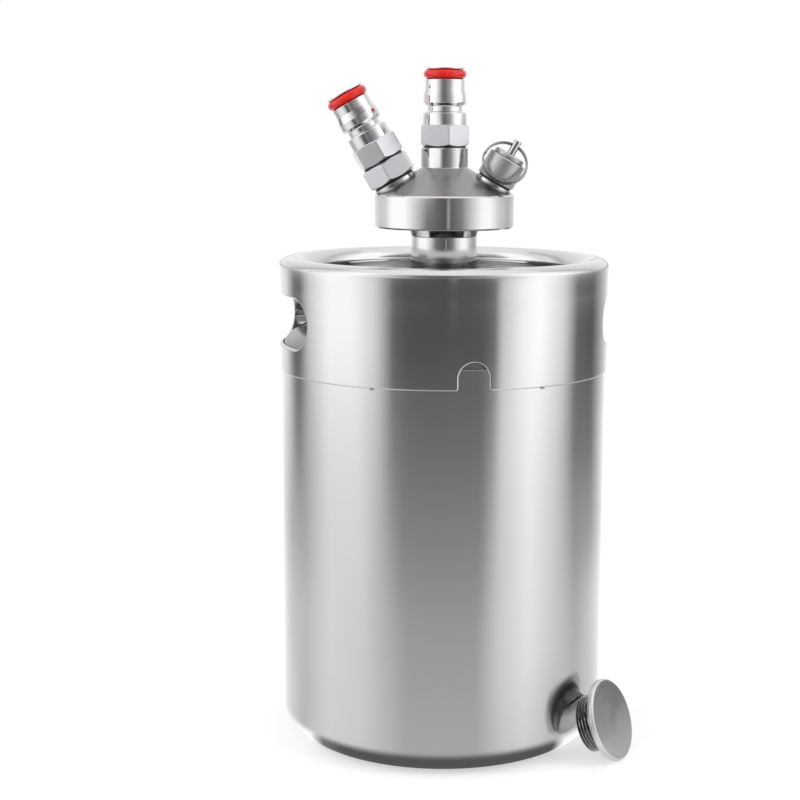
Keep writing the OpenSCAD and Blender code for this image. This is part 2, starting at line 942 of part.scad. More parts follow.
// Nut that carries the slanted post
module side_nut() {
  color("silver")
    on_side_port()
      difference() {
        union() {
          translate([0, 0, flat_seal_t])
            hex_bar(nut_hex, nut_h, nut_turn);
          translate([0, 0, flat_seal_t - spigot_len])
            cylinder(r = spigot_r, h = spigot_len + cut);
        }
        translate([0, 0, nut_top - spigot_len])
          cylinder(r = port_bore_r, h = spigot_len + cut);
        translate([0, 0, flat_seal_t - spigot_len - cut])
          cylinder(d = way_d, h = spigot_len + nut_h);
      }
}

module side_nut_seal() {
  on_side_port()
    flat_seal(nut_hex / 2 * cos(30) - seal_inset, spigot_r + joint_gap, flat_seal_t);
}

// Cup of the relief valve, with its spigot and the bored spring chamber
module relief_cup() {
  foot_z = relief_foot - spigot_len;
  color("darkgray")
    on_relief_port()
      rotate_extrude()
        polygon([
          [way_d / 2, foot_z],
          [relief_spigot_r, foot_z],
          [relief_spigot_r, relief_foot],
          [relief_r - relief_bevel, relief_foot],
          [relief_r, relief_foot + relief_bevel],
          [relief_r, relief_top - relief_bevel],
          [relief_r - relief_bevel, relief_top],
          [relief_r - relief_wall, relief_top],
          [relief_r - relief_wall, relief_foot + relief_floor],
          [chamber_r, relief_foot + relief_floor],
          [chamber_r, seat_z],
          [way_d / 2, seat_z]
        ]);
}

module relief_seal() {
  on_relief_port()
    flat_seal(relief_r - seal_inset, relief_spigot_r + joint_gap, flat_seal_t);
}

// Flared bonnet that closes the spring chamber and guides the stem
module relief_bonnet() {
  foot_z = relief_foot + relief_floor + joint_gap;
  color("silver")
    on_relief_port()
      rotate_extrude()
        polygon([
          [chamber_r, foot_z],
          [bonnet_foot_d / 2, foot_z],
          [bonnet_top_d / 2, bonnet_top - bonnet_rim_h],
          [bonnet_top_d / 2, bonnet_top - relief_bevel],
          [bonnet_top_d / 2 - relief_bevel, bonnet_top],
          [stem_r + stem_gap, bonnet_top],
          [stem_r + stem_gap, bonnet_top - bonnet_roof],
          [chamber_r, bonnet_top - bonnet_roof]
        ]);
}

// Pulled stem with the spring's plate at its foot and a cross hole near its top
module relief_stem() {
  color("silver")
    on_relief_port()
      difference() {
        rotate_extrude()
          polygon([
            [0, plate_z],
            [plate_r, plate_z],
            [plate_r, plate_z + plate_t],
            [stem_r, plate_z + plate_t],
            [stem_r, stem_top - relief_bevel],
            [stem_r - relief_bevel, stem_top],
            [0, stem_top]
          ]);
        translate([0, 0, cross_z])
          rotate([0, 90, 0])
            cylinder(d = stem_hole_d, h = stem_d + 2 * cut, center = true);
      }
}

module relief_pad() {
  color("black")
    on_relief_port()
      translate([0, 0, seat_z + rest_gap])
        cylinder(r = plate_r, h = pad_t);
}

module relief_spring() {
  low = plate_z + plate_t + joint_gap;
  high = bonnet_top - bonnet_roof - rest_gap;
  coil_r = plate_r - relief_wire / 2;
  color("gray")
    on_relief_port()
      translate([0, 0, low])
        coil_spring(coil_r, high - low, relief_wire, relief_curls);
}

// Split ring of two close turns, threaded through the stem's cross hole
module pull_ring() {
  // The two turns are pressed together a little
  apart = 0.95 * ring_wire_r;
  color("silver")
    on_relief_port()
      translate([0, 0, cross_z])
        rotate([-pull_ring_lean, 0, 0])
          translate([0, 0, -pull_mean_r])
            rotate([90, 0, 0])
              rotate_extrude()
                for (side = [-1, 1])
                  translate([pull_mean_r, side * apart])
                    circle(ring_wire_r, $fn = 24);
}

module on_cap() {
  rotate([0, 0, cap_azimuth])
    translate([cap_x, 0, cap_z])
      rotate([0, 0, cap_turn])
        rotate([0, 90 - cap_lean, 0])
          children();
}

// Section of the cap's disc with its rounded edges
module cap_disc_2d() {
  edge_x = cap_r - cap_edge_r;
  translate([0, -cap_t])
    square([edge_x, cap_t]);
  translate([0, cap_edge_r - cap_t])
    square([cap_r, cap_t - 2 * cap_edge_r]);
  for (z = [-cap_edge_r, cap_edge_r - cap_t])
    translate([edge_x, z])
      circle(cap_edge_r);
}

// Section of the cap's seal groove and screwed plug
module cap_plug_2d() {
  polygon([
    [0, -cap_t / 2],
    [seal_groove_r, -cap_t / 2],
    [seal_groove_r, -cap_t - seal_groove_h],
    [screw_r, -cap_t - seal_groove_h],
    [screw_r, screw_chamfer - cap_depth],
    [screw_r - screw_chamfer, -cap_depth],
    [0, -cap_depth]
  ]);
}

module cap() {
  color("gainsboro")
    on_cap() {
      rotate_extrude()
        cap_disc_2d();
      rotate_extrude()
        cap_plug_2d();
    }
}

module cap_seal() {
  color("black")
    on_cap()
      translate([0, 0, -cap_t - rest_gap - neck_seal_d / 2])
        o_ring(neck_seal_mean_r, neck_seal_d);
}

lower_shell();
top_end();
collar();
tack_welds();
neck();
neck_weld();
neck_seal();
head();
liquid_stem();
soft_tube();
mid_post();
mid_post_ring();
mid_post_seal();
mid_valve();
mid_valve_seal();
mid_spring();
side_nut();
side_nut_seal();
side_post();
side_post_ring();
side_post_seal();
side_valve();
side_valve_seal();
side_spring();
relief_cup();
relief_seal();
relief_bonnet();
relief_stem();
relief_pad();
relief_spring();
pull_ring();
cap();
cap_seal();
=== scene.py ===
"""Looks of the mini keg: drawn, turned and welded steel, rubber rings, threads and the stage."""

import math

import bpy
import numpy as np
from mathutils import Matrix, Vector
from mathutils.geometry import delaunay_2d_cdt


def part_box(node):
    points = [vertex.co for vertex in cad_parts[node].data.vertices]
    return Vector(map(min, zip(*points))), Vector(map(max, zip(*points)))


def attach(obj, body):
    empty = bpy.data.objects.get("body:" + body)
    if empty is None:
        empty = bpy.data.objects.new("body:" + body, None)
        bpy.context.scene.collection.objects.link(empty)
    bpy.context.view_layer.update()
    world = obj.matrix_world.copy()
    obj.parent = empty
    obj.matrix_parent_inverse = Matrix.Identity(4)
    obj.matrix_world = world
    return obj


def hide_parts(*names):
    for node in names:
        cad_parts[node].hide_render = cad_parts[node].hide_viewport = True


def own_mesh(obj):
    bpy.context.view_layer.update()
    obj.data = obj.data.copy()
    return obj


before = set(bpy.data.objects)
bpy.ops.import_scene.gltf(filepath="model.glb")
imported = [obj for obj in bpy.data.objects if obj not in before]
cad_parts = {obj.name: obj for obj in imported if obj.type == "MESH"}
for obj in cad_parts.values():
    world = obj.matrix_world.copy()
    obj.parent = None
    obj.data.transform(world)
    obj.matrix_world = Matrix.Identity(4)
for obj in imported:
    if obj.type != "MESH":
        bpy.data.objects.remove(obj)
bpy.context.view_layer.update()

bl_info = {
    "name": "Mini keg",
    "version": (1, 0, 0),
    "blender": (4, 5, 0),
    "location": "View3D > Sidebar > Mini keg",
    "description": "Builds the looks of a mini keg with its dispensing head and cap",
    "category": "Object",
}

MM = 0.001


def reach(node, axis, high=True):
    """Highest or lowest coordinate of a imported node, in millimetres."""
    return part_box(node)[1 if high else 0][axis] / MM


# Sizes in millimetres and angles in degrees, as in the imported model. The last letter is R
# for a radius, W for a width, H for a height, T for a thickness, and Z for a height over
# the floor.

# Shell and top end
SHEET_T = 1.0
SHELL_R = reach("lower_shell", 0)
SHELL_Z = reach("lower_shell", 2)
CORNER_R = 18.0
FOOT_IN_R = 62.5
BASE_RISE = 3.0
END_R = reach("top_end", 0)
END_LOW = reach("top_end", 2, high=False)
KNUCKLE_R = 10.0
KNUCKLE_Z = SHELL_Z + 0.4
CROWN_R = 380.0

# Collar: wall, rolled rim, hand holes with their lips, notches and the seam's tacks
SEAM_Z = reach("collar", 2, high=False)
RIM_Z = reach("collar", 2)
RIM_R = reach("collar", 0)
COLLAR_T = 0.8
COLLAR_R = RIM_R - 0.2
ROLL_R = 7.0
ROLL_DROP = 4.5
CURL_END = 205.0
HAND_AZIMUTH = 9.5
HAND_W = 83.0
HAND_H = 26.2
HAND_Z = SEAM_Z + 27.5
LIP_IN_R = 80.05
EDGE_R = 0.85
NOTCH_AZIMUTH = -80.0
NOTCH_W = 15.7
NOTCH_H = 14.0
NOTCH_FOOT_R = 1.5
TACK_ANGLES = (-34.0, 24.5)
THREE_BEADS = ((-0.35, 0.0), (0.3, -0.15), (0.0, 0.25))

# Neck, and the gap round the thick seals
NECK_R = 23.0
NECK_DEPTH = 8.0
SEAL_GAP = 0.3
NECK_Z = RIM_Z - 11.5
BORE_R = 15.0

# Head: shoulder, thread, disc, chamber, cone with its boss, and the ports in the cone
SHOULDER_Z = NECK_Z + SEAL_GAP
SCREW_R = 14.93
GROOVE_R = 13.7
DISC_Z = SHOULDER_Z + 26.7
DISC_R = 37.35
DISC_TOP = DISC_Z + 17.8
CHAMBER_Z = DISC_Z + 9.0
BOSS_R = 12.45
TILT = math.radians(30.0)
CHAMFER = 0.8
PORT_R = 26.3
SPOT_H = 0.6

# Posts and nut; a hexagon's size is over its corners, and half a side of it is 30 degrees
POST_LEN = 41.5
POST_SEAL_T = 0.5
HALF_SIDE = math.radians(30)
HEX_FACE_IN = 0.6
POST_HEX = 27.0
POST_HEX_H = 11.9
POST_TURN = 10.7
SHANK_R = 7.95
SHANK_SEAL_R = 8.0
NUT_SEAL_T = 1.0
NUT_HEX = 28.4
NUT_FLAT_R = NUT_HEX / 2 * math.cos(HALF_SIDE)
NUT_H = 11.0
NUT_TURN = -5.0

# Relief valve
RELIEF_R = 10.4
RELIEF_AZIMUTH = math.radians(-5.0)
RELIEF_SEAL_T = 1.0
CROSS_HOLE_Z = 22.1

# Cap, and the thick seal that it shares with the head
SEAL_SECTION = 2.3
SEAL_R = GROOVE_R + SEAL_GAP + SEAL_SECTION / 2
CAP_R = 21.7
CAP_T = 3.7
CAP_EDGE_R = 1.2
CAP_DEPTH = CAP_T + 10.6
CAP_GAP = 0.3
CAP_LEAN = math.radians(20.0)
CAP_AZIMUTH = math.radians(-31.5)
CAP_TURN = math.radians(2.5)


def cone_z(r):
    """Height of the head's cone at a radius."""
    return DISC_TOP + (DISC_R - CHAMFER - r) * math.tan(TILT)


BOSS_Z = cone_z(BOSS_R) + 10.5


def place(*steps):
    """Matrix of moves and turns in order, from the outermost in; a move is in millimetres."""
    matrix = Matrix.Identity(4)
    for kind, value in steps:
        if kind == "move":
            matrix = matrix @ Matrix.Translation(Vector(value) * MM)
        else:
            matrix = matrix @ Matrix.Rotation(value, 4, kind)
    return matrix


def lifted(z):
    """Matrix of a move up an axis."""
    return place(("move", (0, 0, z)))


def port_at(azimuth):
    """Matrix of a port's axis from its spot face on the cone."""
    foot = ("move", (PORT_R, 0, cone_z(PORT_R)))
    return place(("Z", azimuth), foot, ("Y", TILT), ("move", (0, 0, SPOT_H)))


ON_KEG = place()
ON_MID_PORT = lifted(BOSS_Z)
ON_SIDE_PORT = port_at(math.pi) @ place(("Z", math.pi))
ON_RELIEF_PORT = port_at(RELIEF_AZIMUTH)
ON_MID_POST = ON_MID_PORT @ lifted(POST_SEAL_T)
ON_SIDE_POST = ON_SIDE_PORT @ lifted(NUT_SEAL_T + NUT_H + POST_SEAL_T)
CAP_X = SHELL_R + CAP_GAP + CAP_DEPTH * math.cos(CAP_LEAN)
CAP_X += (SCREW_R - CHAMFER) * math.sin(CAP_LEAN)
CAP_Z = (CAP_R - CAP_EDGE_R) * math.cos(CAP_LEAN) + CAP_EDGE_R
CAP_Z += (CAP_T - CAP_EDGE_R) * math.sin(CAP_LEAN)
ON_CAP = place(
    ("Z", CAP_AZIMUTH),
    ("move", (CAP_X, 0, CAP_Z)),
    ("Z", CAP_TURN),
    ("Y", math.pi / 2 - CAP_LEAN),
)


# Node trees


def arithmetic(operation, swapped=False):
    """A method for Sock that adds a Math node for the socket and one other term."""

    def method(self, other):
        return self.sheet.maths(operation, *((other, self) if swapped else (self, other)))

    return method


class Sock:
    """A node's socket that takes Python arithmetic and adds the Math nodes for it."""

    __add__ = __radd__ = arithmetic("ADD")
    __sub__ = arithmetic("SUBTRACT")
    __rsub__ = arithmetic("SUBTRACT", swapped=True)
    __mul__ = __rmul__ = arithmetic("MULTIPLY")
    __truediv__ = arithmetic("DIVIDE")
    __pow__ = arithmetic("POWER")
    __mod__ = arithmetic("MODULO")

    def __init__(self, sheet, socket):
        self.sheet = sheet
        self.socket = socket

    def clamped(self, low=0.0, high=1.0):
        return self.sheet.add("ShaderNodeClamp", {"Value": self, "Min": low, "Max": high})

    def ramped(self, low, high):
        """0 below low, 1 above high, smooth in between."""
        ends = {"Value": self, "From Min": low, "From Max": high}
        return self.sheet.add("ShaderNodeMapRange", ends, interpolation_type="SMOOTHSTEP")


class Sheet:
    """A node tree that is being drawn."""

    def __init__(self, tree):
        self.tree = tree

    def add(self, kind, inputs=None, out=0, stops=(), **settings):
        """Any node, from its settings, its colour stops and its sockets' values or links."""
        node = self.tree.nodes.new(kind)
        for name, value in settings.items():
            setattr(node, name, value)
        if stops:
            ramp = node.color_ramp.elements
            while len(ramp) < len(stops):
                ramp.new(0.5)
            for element, (position, colour) in zip(ramp, stops):
                element.position = position
                element.color = (*colour, 1.0)
        self.fill(node, inputs or {})
        return Sock(self, node.outputs[out]) if len(node.outputs) else None

    def fill(self, node, inputs):
        """Sets or links sockets of a node by their names or numbers."""
        for key, value in inputs.items():
            if isinstance(value, Sock):
                self.tree.links.new(value.socket, node.inputs[key])
            else:
                node.inputs[key].default_value = value

    def maths(self, operation, *terms):
        return self.add("ShaderNodeMath", dict(enumerate(terms)), operation=operation)

    def arrow(self, operation, inputs):
        """A Vector Math node."""
        return self.add("ShaderNodeVectorMath", inputs, operation=operation)

    def split(self, vector):
        """A vector's x, y and z."""
        parts = self.add("ShaderNodeSeparateXYZ", {0: vector}).socket.node
        return [Sock(self, part) for part in parts.outputs]

    def join(self, x, y, z):
        return self.add("ShaderNodeCombineXYZ", {0: x, 1: y, 2: z})

    def mix(self, factor, a, b):
        """Between two colours."""
        return self.add("ShaderNodeMix", {0: factor, 6: a, 7: b}, out=2, data_type="RGBA")

    def noise(self, vector, scale, detail=3.0, rough=0.55):
        values = {"Vector": vector, "Scale": scale, "Detail": detail, "Roughness": rough}
        return self.add("ShaderNodeTexNoise", values)

    def bump(self, height, strength, distance):
        """Normals tipped by a height, distance in metres."""
        values = {"Strength": strength, "Distance": distance, "Height": height}
        return self.add("ShaderNodeBump", values)


# Materials


def new_sheet(name):
    """A new material and its empty sheet."""
    material = bpy.data.materials.new(name)
    material.use_nodes = True
    material.node_tree.nodes.clear()
    return material, Sheet(material.node_tree)


def blank(name):
    """A material with an unset Principled shader, its sheet and the shader node."""
    material, sheet = new_sheet(name)
    shader = sheet.add("ShaderNodeBsdfPrincipled").socket.node
    sheet.add("ShaderNodeOutputMaterial", {"Surface": Sock(sheet, shader.outputs[0])})
    return material, sheet, shader


def own_place(sheet):
    """Millimetres along a piece's own axes."""
    return sheet.add("ShaderNodeAttribute", out=1, attribute_name="own")


def steel(name, colour, rough, lines=1.0, pitch=5.0, blotch=0.05, stretch=0.0, grooves=0.0):
    """Bare steel with fine lines round its axis, faint blotches and handling marks.

    lines is the depth of the lines, pitch how many there are to a millimetre, stretch how
    far the gloss is drawn out across them, and grooves how far fine turning grooves tip
    the surface in and out from the axis.
    """
    material, sheet, shader = blank(name)
    own = own_place(sheet)
    x, y, z = sheet.split(own)
    r = (x * x + y * y + 0.04) ** 0.5
    across = (z + r * 1.31) * pitch
    fine = sheet.noise(sheet.join(x / r * 2.2, y / r * 2.2, across), 1.0, 4.0, 0.7)
    coarse = sheet.noise(sheet.join(x / r * 0.9, y / r * 0.9, across * 0.17), 1.0, 2.0)
    cloud = sheet.noise(own, 0.035)
    marks = sheet.noise(own, 0.9, 2.0).ramped(0.62, 0.78)
    gloss = rough + (fine - 0.5) * 0.16 * lines + (coarse - 0.5) * 0.1 * lines
    gloss = gloss + (cloud - 0.5) * blotch * 2 + marks * 0.03
    darker = [c * (1 - 0.14 * lines) for c in colour]
    tone = sheet.mix((coarse * 0.6 + fine * 0.4).clamped(), (*darker, 1.0), (*colour, 1.0))
    normal = sheet.bump(fine * 0.6 + coarse * 0.8, 0.35, 0.000012 * lines)
    if grooves:
        outward = sheet.add(
            "ShaderNodeVectorTransform",
            {0: sheet.add("ShaderNodeAttribute", out=1, attribute_name="outward")},
            vector_type="VECTOR",
            convert_from="OBJECT",
            convert_to="WORLD",
        )
        depth = sheet.noise(sheet.join(0.0, 0.0, r * 9.0), 1.0, 2.0) - 0.5
        tip = sheet.arrow("SCALE", {0: outward, "Scale": depth * 2 * grooves})
        normal = sheet.arrow("NORMALIZE", {0: sheet.arrow("ADD", {0: normal, 1: tip})})
    looks = {
        "Base Color": tone,
        "Metallic": 1.0,
        "Roughness": gloss.clamped(0.03, 0.9),
        "Anisotropic": stretch,
        "Anisotropic Rotation": 0.25,
        "Normal": normal,
    }
    sheet.fill(shader, looks)
    return material


def rubber(name, colour, rough, polish=0.0):
    """Moulded rubber with a fine skin and a faint bloom."""
    material, sheet, shader = blank(name)
    own = own_place(sheet)
    skin = sheet.noise(own, 5.0, 4.0, 0.65)
    bloom = sheet.noise(own, 0.25)
    light = [min(1.0, c * 1.2 + 0.004) for c in colour]
    gloss = rough + (bloom - 0.5) * 0.16 + (skin - 0.5) * 0.1
    looks = {
        "Base Color": sheet.mix(bloom.ramped(0.4, 0.75) * 0.5, (*colour, 1.0), (*light, 1.0)),
        "Roughness": gloss.clamped(0.05, 0.95),
        "Specular IOR Level": 0.35,
        "Coat Weight": polish,
        "Coat Roughness": 0.12,
        "Normal": sheet.bump(skin, 0.3, 0.00002),
    }
    sheet.fill(shader, looks)
    return material


def weld(name, colour):
    """Weld metal: rippled, duller than the sheet, with straw and blue heat colours."""
    material, sheet, shader = blank(name)
    own = own_place(sheet)
    ripple = sheet.noise(own, 1.4, 4.0, 0.6)
    straw, blue = (0.46, 0.36, 0.22), (0.30, 0.27, 0.33)
    looks = {
        "Base Color": sheet.add(
            "ShaderNodeValToRGB",
            {"Fac": sheet.noise(own, 0.12, 2.0)},
            stops=[(0.3, colour), (0.5, straw), (0.62, blue), (0.8, colour)],
        ),
        "Metallic": 1.0,
        "Roughness": 0.34 + (ripple - 0.5) * 0.3,
        "Normal": sheet.bump(ripple, 0.6, 0.0001),
    }
    sheet.fill(shader, looks)
    return material


def silicone(name, colour):
    """Clear soft tube with extrusion lines along it and a milky tone."""
    material, sheet, shader = blank(name)
    own = own_place(sheet)
    x, y, z = sheet.split(own)
    lines = sheet.noise(sheet.join(x * 1.5, y * 1.5, z * 0.02), 1.0)
    milk = sheet.noise(own, 0.08, 2.0)
    looks = {
        "Base Color": sheet.mix(milk, (*colour, 1.0), (0.93, 0.95, 0.96, 1.0)),
        "Roughness": 0.2 + (lines - 0.5) * 0.15,
        "Alpha": (0.42 + (milk - 0.5) * 0.2).clamped(0.2, 0.9),
        "IOR": 1.41,
        "Normal": sheet.bump(lines, 0.2, 0.00003),
    }
    sheet.fill(shader, looks)
    return material


def finish(name):
    """The material of a finish, made once from the panel's colours."""
    made = bpy.data.materials.get(name)
    if made:
        return made
    look = bpy.context.scene.keg_finish
    sheet_steel, turned_steel = tuple(look.sheet_colour), tuple(look.turned_colour)
    post, hexagon_steel = tuple(look.post_colour), tuple(look.hexagon_colour)
    red, black = tuple(look.ring_colour), tuple(look.seal_colour)
    gloss = look.sheet_roughness

    def grey(k):
        return tuple(c * k for c in turned_steel)

    finishes = {
        "satin_shell": (steel, sheet_steel, gloss, 0.2, 4.0, 0.02, look.sheet_stretch),
        "satin_collar": (steel, sheet_steel, gloss * 0.75, 0.2, 4.0, 0.02, 0.3),
        # Painted shade: the top end's steel is darkened, as shade down in the well under the
        # collar
        "drawn_end": (steel, grey(0.5), 0.3, 0.8, 2.5, 0.08),
        "turned_neck": (steel, grey(0.94), 0.24, 0.9, 3.5),
        "turned_head": (steel, grey(0.96), 0.075, 0.4, 3.0, 0.015, 0.3),
        "satin_cone": (steel, grey(0.44), 0.24, 0.5, 3.0, 0.04),
        "bright_turned": (steel, turned_steel, 0.12, 0.6, 4.0),
        "polished_post": (steel, post, 0.09, 0.4, 3.0, 0.01),
        "satin_hexagon": (steel, hexagon_steel, 0.3, 0.5, 1.2, 0.05),
        "valve_steel": (steel, grey(0.85), 0.2, 0.6, 5.0),
        # Painted shade: the relief valve's steel is darkened, as the dark it mirrors
        "relief_steel": (steel, tuple(look.relief_colour), 0.07, 0.3, 2.5, 0.02),
        # Painted shade: the ring's wire is darkened, as the dark its edges mirror
        "ring_wire": (steel, grey(0.5), 0.08, 0.3, 1.0),
        "spring_wire": (steel, grey(0.75), 0.25, 0.4, 1.0),
        "cap_steel": (steel, turned_steel, 0.12, 0.5, 3.0, 0.02),
        # Painted shade: the cap's screw is darkened, as shade in its thread and the dark it
        # mirrors
        "cap_screw": (steel, grey(0.55), 0.08, 0.3, 3.0, 0.02),
        "cap_face": (steel, turned_steel, 0.14, 0.3, 3.0, 0.02, 0.0, 0.5),
        "weld_metal": (weld, grey(0.6)),
        "red_ring": (rubber, red, 0.2, 0.25),
        "black_seal": (rubber, black, 0.42),
        "clear_tube": (silicone, (0.86, 0.9, 0.93)),
    }
    maker, *settings = finishes[name]
    return maker(name, *settings)


# Shapes


# A fillet takes at most this share of a side; a point stands this close beside its ends
FILLET_SHARE = 0.48
BESIDE = 0.15


def eased(corners, steps=5):
    """Outline through corners (r, z, fillet), each fillet drawn as a short arc.

    A point close beside each end of a fillet keeps the shading of the flats clean.
    """
    line = []
    for i, (r, z, fillet) in enumerate(corners):
        here = np.array((r, z), float)
        if fillet <= 0 or i in (0, len(corners) - 1):
            line.append(here)
            continue
        back = np.array(corners[i - 1][:2], float) - here
        ahead = np.array(corners[i + 1][:2], float) - here
        long_back, long_ahead = np.linalg.norm(back), np.linalg.norm(ahead)
        half = math.acos(np.clip(back @ ahead / long_back / long_ahead, -1, 1)) / 2
        run = min(fillet / math.tan(half), FILLET_SHARE * min(long_back, long_ahead))
        back, ahead = back / long_back, ahead / long_ahead
        start, end = here + back * run, here + ahead * run
        line.append(start + back * min(BESIDE, 0.3 * (0.5 * long_back - run)))
        for t in np.linspace(0, 1, steps + 1):
            line.append((1 - t) ** 2 * start + 2 * t * (1 - t) * here + t * t * end)
        line.append(end + ahead * min(BESIDE, 0.3 * (0.5 * long_ahead - run)))
    return [(p[0], p[1], 0.0) for p in line]


def arc(centre, radius, start, end, steps):
    """Outline points (r, z, 0) along an arc, angles in degrees from +r towards +z."""
    angles = np.radians(np.linspace(start, end, steps + 1))
    r, z = centre
    return [(r + radius * math.cos(a), z + radius * math.sin(a), 0.0) for a in angles]


def threaded(r, low, high, step=0.14, runout=0.7):
    """Outline points up a threaded stretch; the third number is how deep the thread is cut."""
    heights = np.linspace(low, high, max(2, int((high - low) / step)) + 1)
    return [(r, z, float(np.clip(min(z - low, high - z) / runout, 0, 1))) for z in heights]


def turning(sheet, given):
    """Turns an outline about the axis; the outline's y cuts a screw thread into it."""
    sides, rows = given["Sides"], given["Rows"]
    grid = sheet.add("GeometryNodeMeshGrid", {"Vertices X": sides + 1, "Vertices Y": rows})
    index = sheet.add("GeometryNodeInputIndex")
    turn = sheet.maths("FLOOR", index / rows + 0.0001) / sides
    position = sheet.add("GeometryNodeInputPosition")
    on_outline = sheet.add(
        "GeometryNodeSampleIndex",
        {"Geometry": given["Outline"], "Value": position, "Index": index % rows},
        data_type="FLOAT_VECTOR",
        domain="POINT",
    )
    x, cut, z = sheet.split(on_outline)
    phase = sheet.maths("FRACT", z / given["Thread pitch"] - turn + 100.0)
    ridge = ((1 - sheet.maths("ABSOLUTE", phase * 2 - 1)) * 1.5 - 0.2).clamped()
    r = x - given["Thread depth"] * cut * (1 - ridge)
    angle = turn * (2 * math.pi)
    where = sheet.join(r * sheet.maths("COSINE", angle), r * sheet.maths("SINE", angle), z)
    shaped = sheet.add("GeometryNodeSetPosition", {"Geometry": grid, "Position": where})
    return sheet.add("GeometryNodeMergeByDistance", {"Geometry": shaped, "Distance": 2e-7})


def bending(sheet, given):
    """A round wire along the given line of points."""
    curve = sheet.add("GeometryNodeMeshToCurve", {0: given["Line"]})
    section = sheet.add(
        "GeometryNodeCurvePrimitiveCircle",
        {"Resolution": given["Wire sides"], "Radius": given["Wire radius"]},
    )
    return sheet.add(
        "GeometryNodeCurveToMesh", {"Curve": curve, "Profile Curve": section, "Fill Caps": True}
    )


def beading(sheet, given):
    """Flattened, uneven weld beads, one on each point of a ring."""
    bead = sheet.add("GeometryNodeMeshUVSphere", {"Segments": 14, "Rings": 9, "Radius": 1.0})
    x, y, _ = sheet.split(sheet.add("GeometryNodeInputPosition"))
    uneven = sheet.add(
        "FunctionNodeRandomValue",
        {"Min": 0.92, "Max": 1.06, "Seed": given["Seed"]},
        out=1,
        data_type="FLOAT",
    )
    size = [given[f"Bead {side}"] * uneven for side in ("width", "length", "height")]
    return sheet.add(
        "GeometryNodeInstanceOnPoints",
        {
            "Points": given["Ring"],
            "Instance": bead,
            "Rotation": sheet.join(0.0, 0.75, sheet.maths("ARCTAN2", y, x)),
            "Scale": sheet.join(*size),
        },
    )


# The Geometry Nodes trees: what draws each, and its inputs with their kinds and defaults
TREES = {
    "Turned piece": (
        turning,
        ("Outline", "Geometry", None),
        ("Sides", "Int", 192),
        ("Rows", "Int", 2),
        ("Thread pitch", "Float", 0.002),
        ("Thread depth", "Float", 0.001),
    ),
    "Bent wire": (
        bending,
        ("Line", "Geometry", None),
        ("Wire radius", "Float", 0.0006),
        ("Wire sides", "Int", 14),
    ),
    "Weld bead": (
        beading,
        ("Ring", "Geometry", None),
        ("Bead length", "Float", 0.003),
        ("Bead width", "Float", 0.0026),
        ("Bead height", "Float", 0.0022),
        ("Seed", "Int", 7),
    ),
}


def node_tree(name):
    """A named tree, drawn once; it ends in Set Material and Realize Instances."""
    if name in bpy.data.node_groups:
        return bpy.data.node_groups[name]
    draw, *inputs = TREES[name]
    tree = bpy.data.node_groups.new(name, "GeometryNodeTree")
    ends = tree.interface
    ends.new_socket(name="Geometry", in_out="OUTPUT", socket_type="NodeSocketGeometry")
    for label, kind, default in (*inputs, ("Material", "Material", None)):
        socket = ends.new_socket(name=label, in_out="INPUT", socket_type=f"NodeSocket{kind}")
        if default is not None:
            socket.default_value = default
    sheet = Sheet(tree)
    entry = sheet.add("NodeGroupInput").socket.node
    given = {s.name: Sock(sheet, s) for s in entry.outputs if s.name}
    shape = {"Geometry": draw(sheet, given), "Material": given["Material"]}
    real = sheet.add(
        "GeometryNodeRealizeInstances", {0: sheet.add("GeometryNodeSetMaterial", shape)}
    )
    sheet.add("NodeGroupOutput", {0: real})
    return tree


def shown(name, data):
    """A new object of the scene, from a mesh, lamp or camera."""
    thing = bpy.data.objects.new(name, data)
    bpy.context.scene.collection.objects.link(thing)
    return thing


def modified(mesh, kind, inputs=None, **settings):
    """The mesh as one modifier leaves it; inputs are those of the modifier's node tree."""
    holder = shown(mesh.name, mesh)
    modifier = holder.modifiers.new("change", kind)
    for setting, value in settings.items():
        setattr(modifier, setting, value)
    for key, value in (inputs or {}).items():
        modifier[key] = value
    graph = bpy.context.evaluated_depsgraph_get()
    made = bpy.data.meshes.new_from_object(holder.evaluated_get(graph))
    bpy.data.objects.remove(holder)
    return made


def grown(name, tree_name, base, material, **inputs):
    """The mesh that a tree makes from a base mesh; inputs by their names in the tree."""
    tree = node_tree(tree_name)
    inputs["Material"] = finish(material)
    keys = {item.name.replace(" ", "_"): item.identifier for item in tree.interface.items_tree}
    values = {keys[name]: value for name, value in inputs.items()}
    mesh = modified(base, "NODES", values, node_group=tree)
    bpy.data.meshes.remove(base)
    mesh.name = name
    return mesh


def outline_mesh(points):
    """A line of vertices at (r, thread depth, z), from millimetres."""
    mesh = bpy.data.meshes.new("outline")
    mesh.from_pydata([(r * MM, cut, z * MM) for r, z, cut in points], [], [])
    return mesh


def line_mesh(points, closed=False):
    """A polyline of vertices and edges, from millimetres."""
    mesh = bpy.data.meshes.new("line")
    edges = [(i, i + 1) for i in range(len(points) - 1)]
    if closed:
        edges.append((len(points) - 1, 0))
    mesh.from_pydata([tuple(c * MM for c in p) for p in points], edges, [])
    return mesh


def facing_out(mesh):
    """Turns a closed mesh's faces outwards if its volume comes out negative."""
    mesh.calc_loop_triangles()
    points = np.zeros(len(mesh.vertices) * 3)
    mesh.vertices.foreach_get("co", points)
    points = points.reshape(-1, 3)
    triangles = np.zeros(len(mesh.loop_triangles) * 3, int)
    mesh.loop_triangles.foreach_get("vertices", triangles)
    a, b, c = (points[triangles.reshape(-1, 3)[:, i]] for i in range(3))
    if np.einsum("ij,ij->i", a, np.cross(b, c)).sum() < 0:
        mesh.flip_normals()


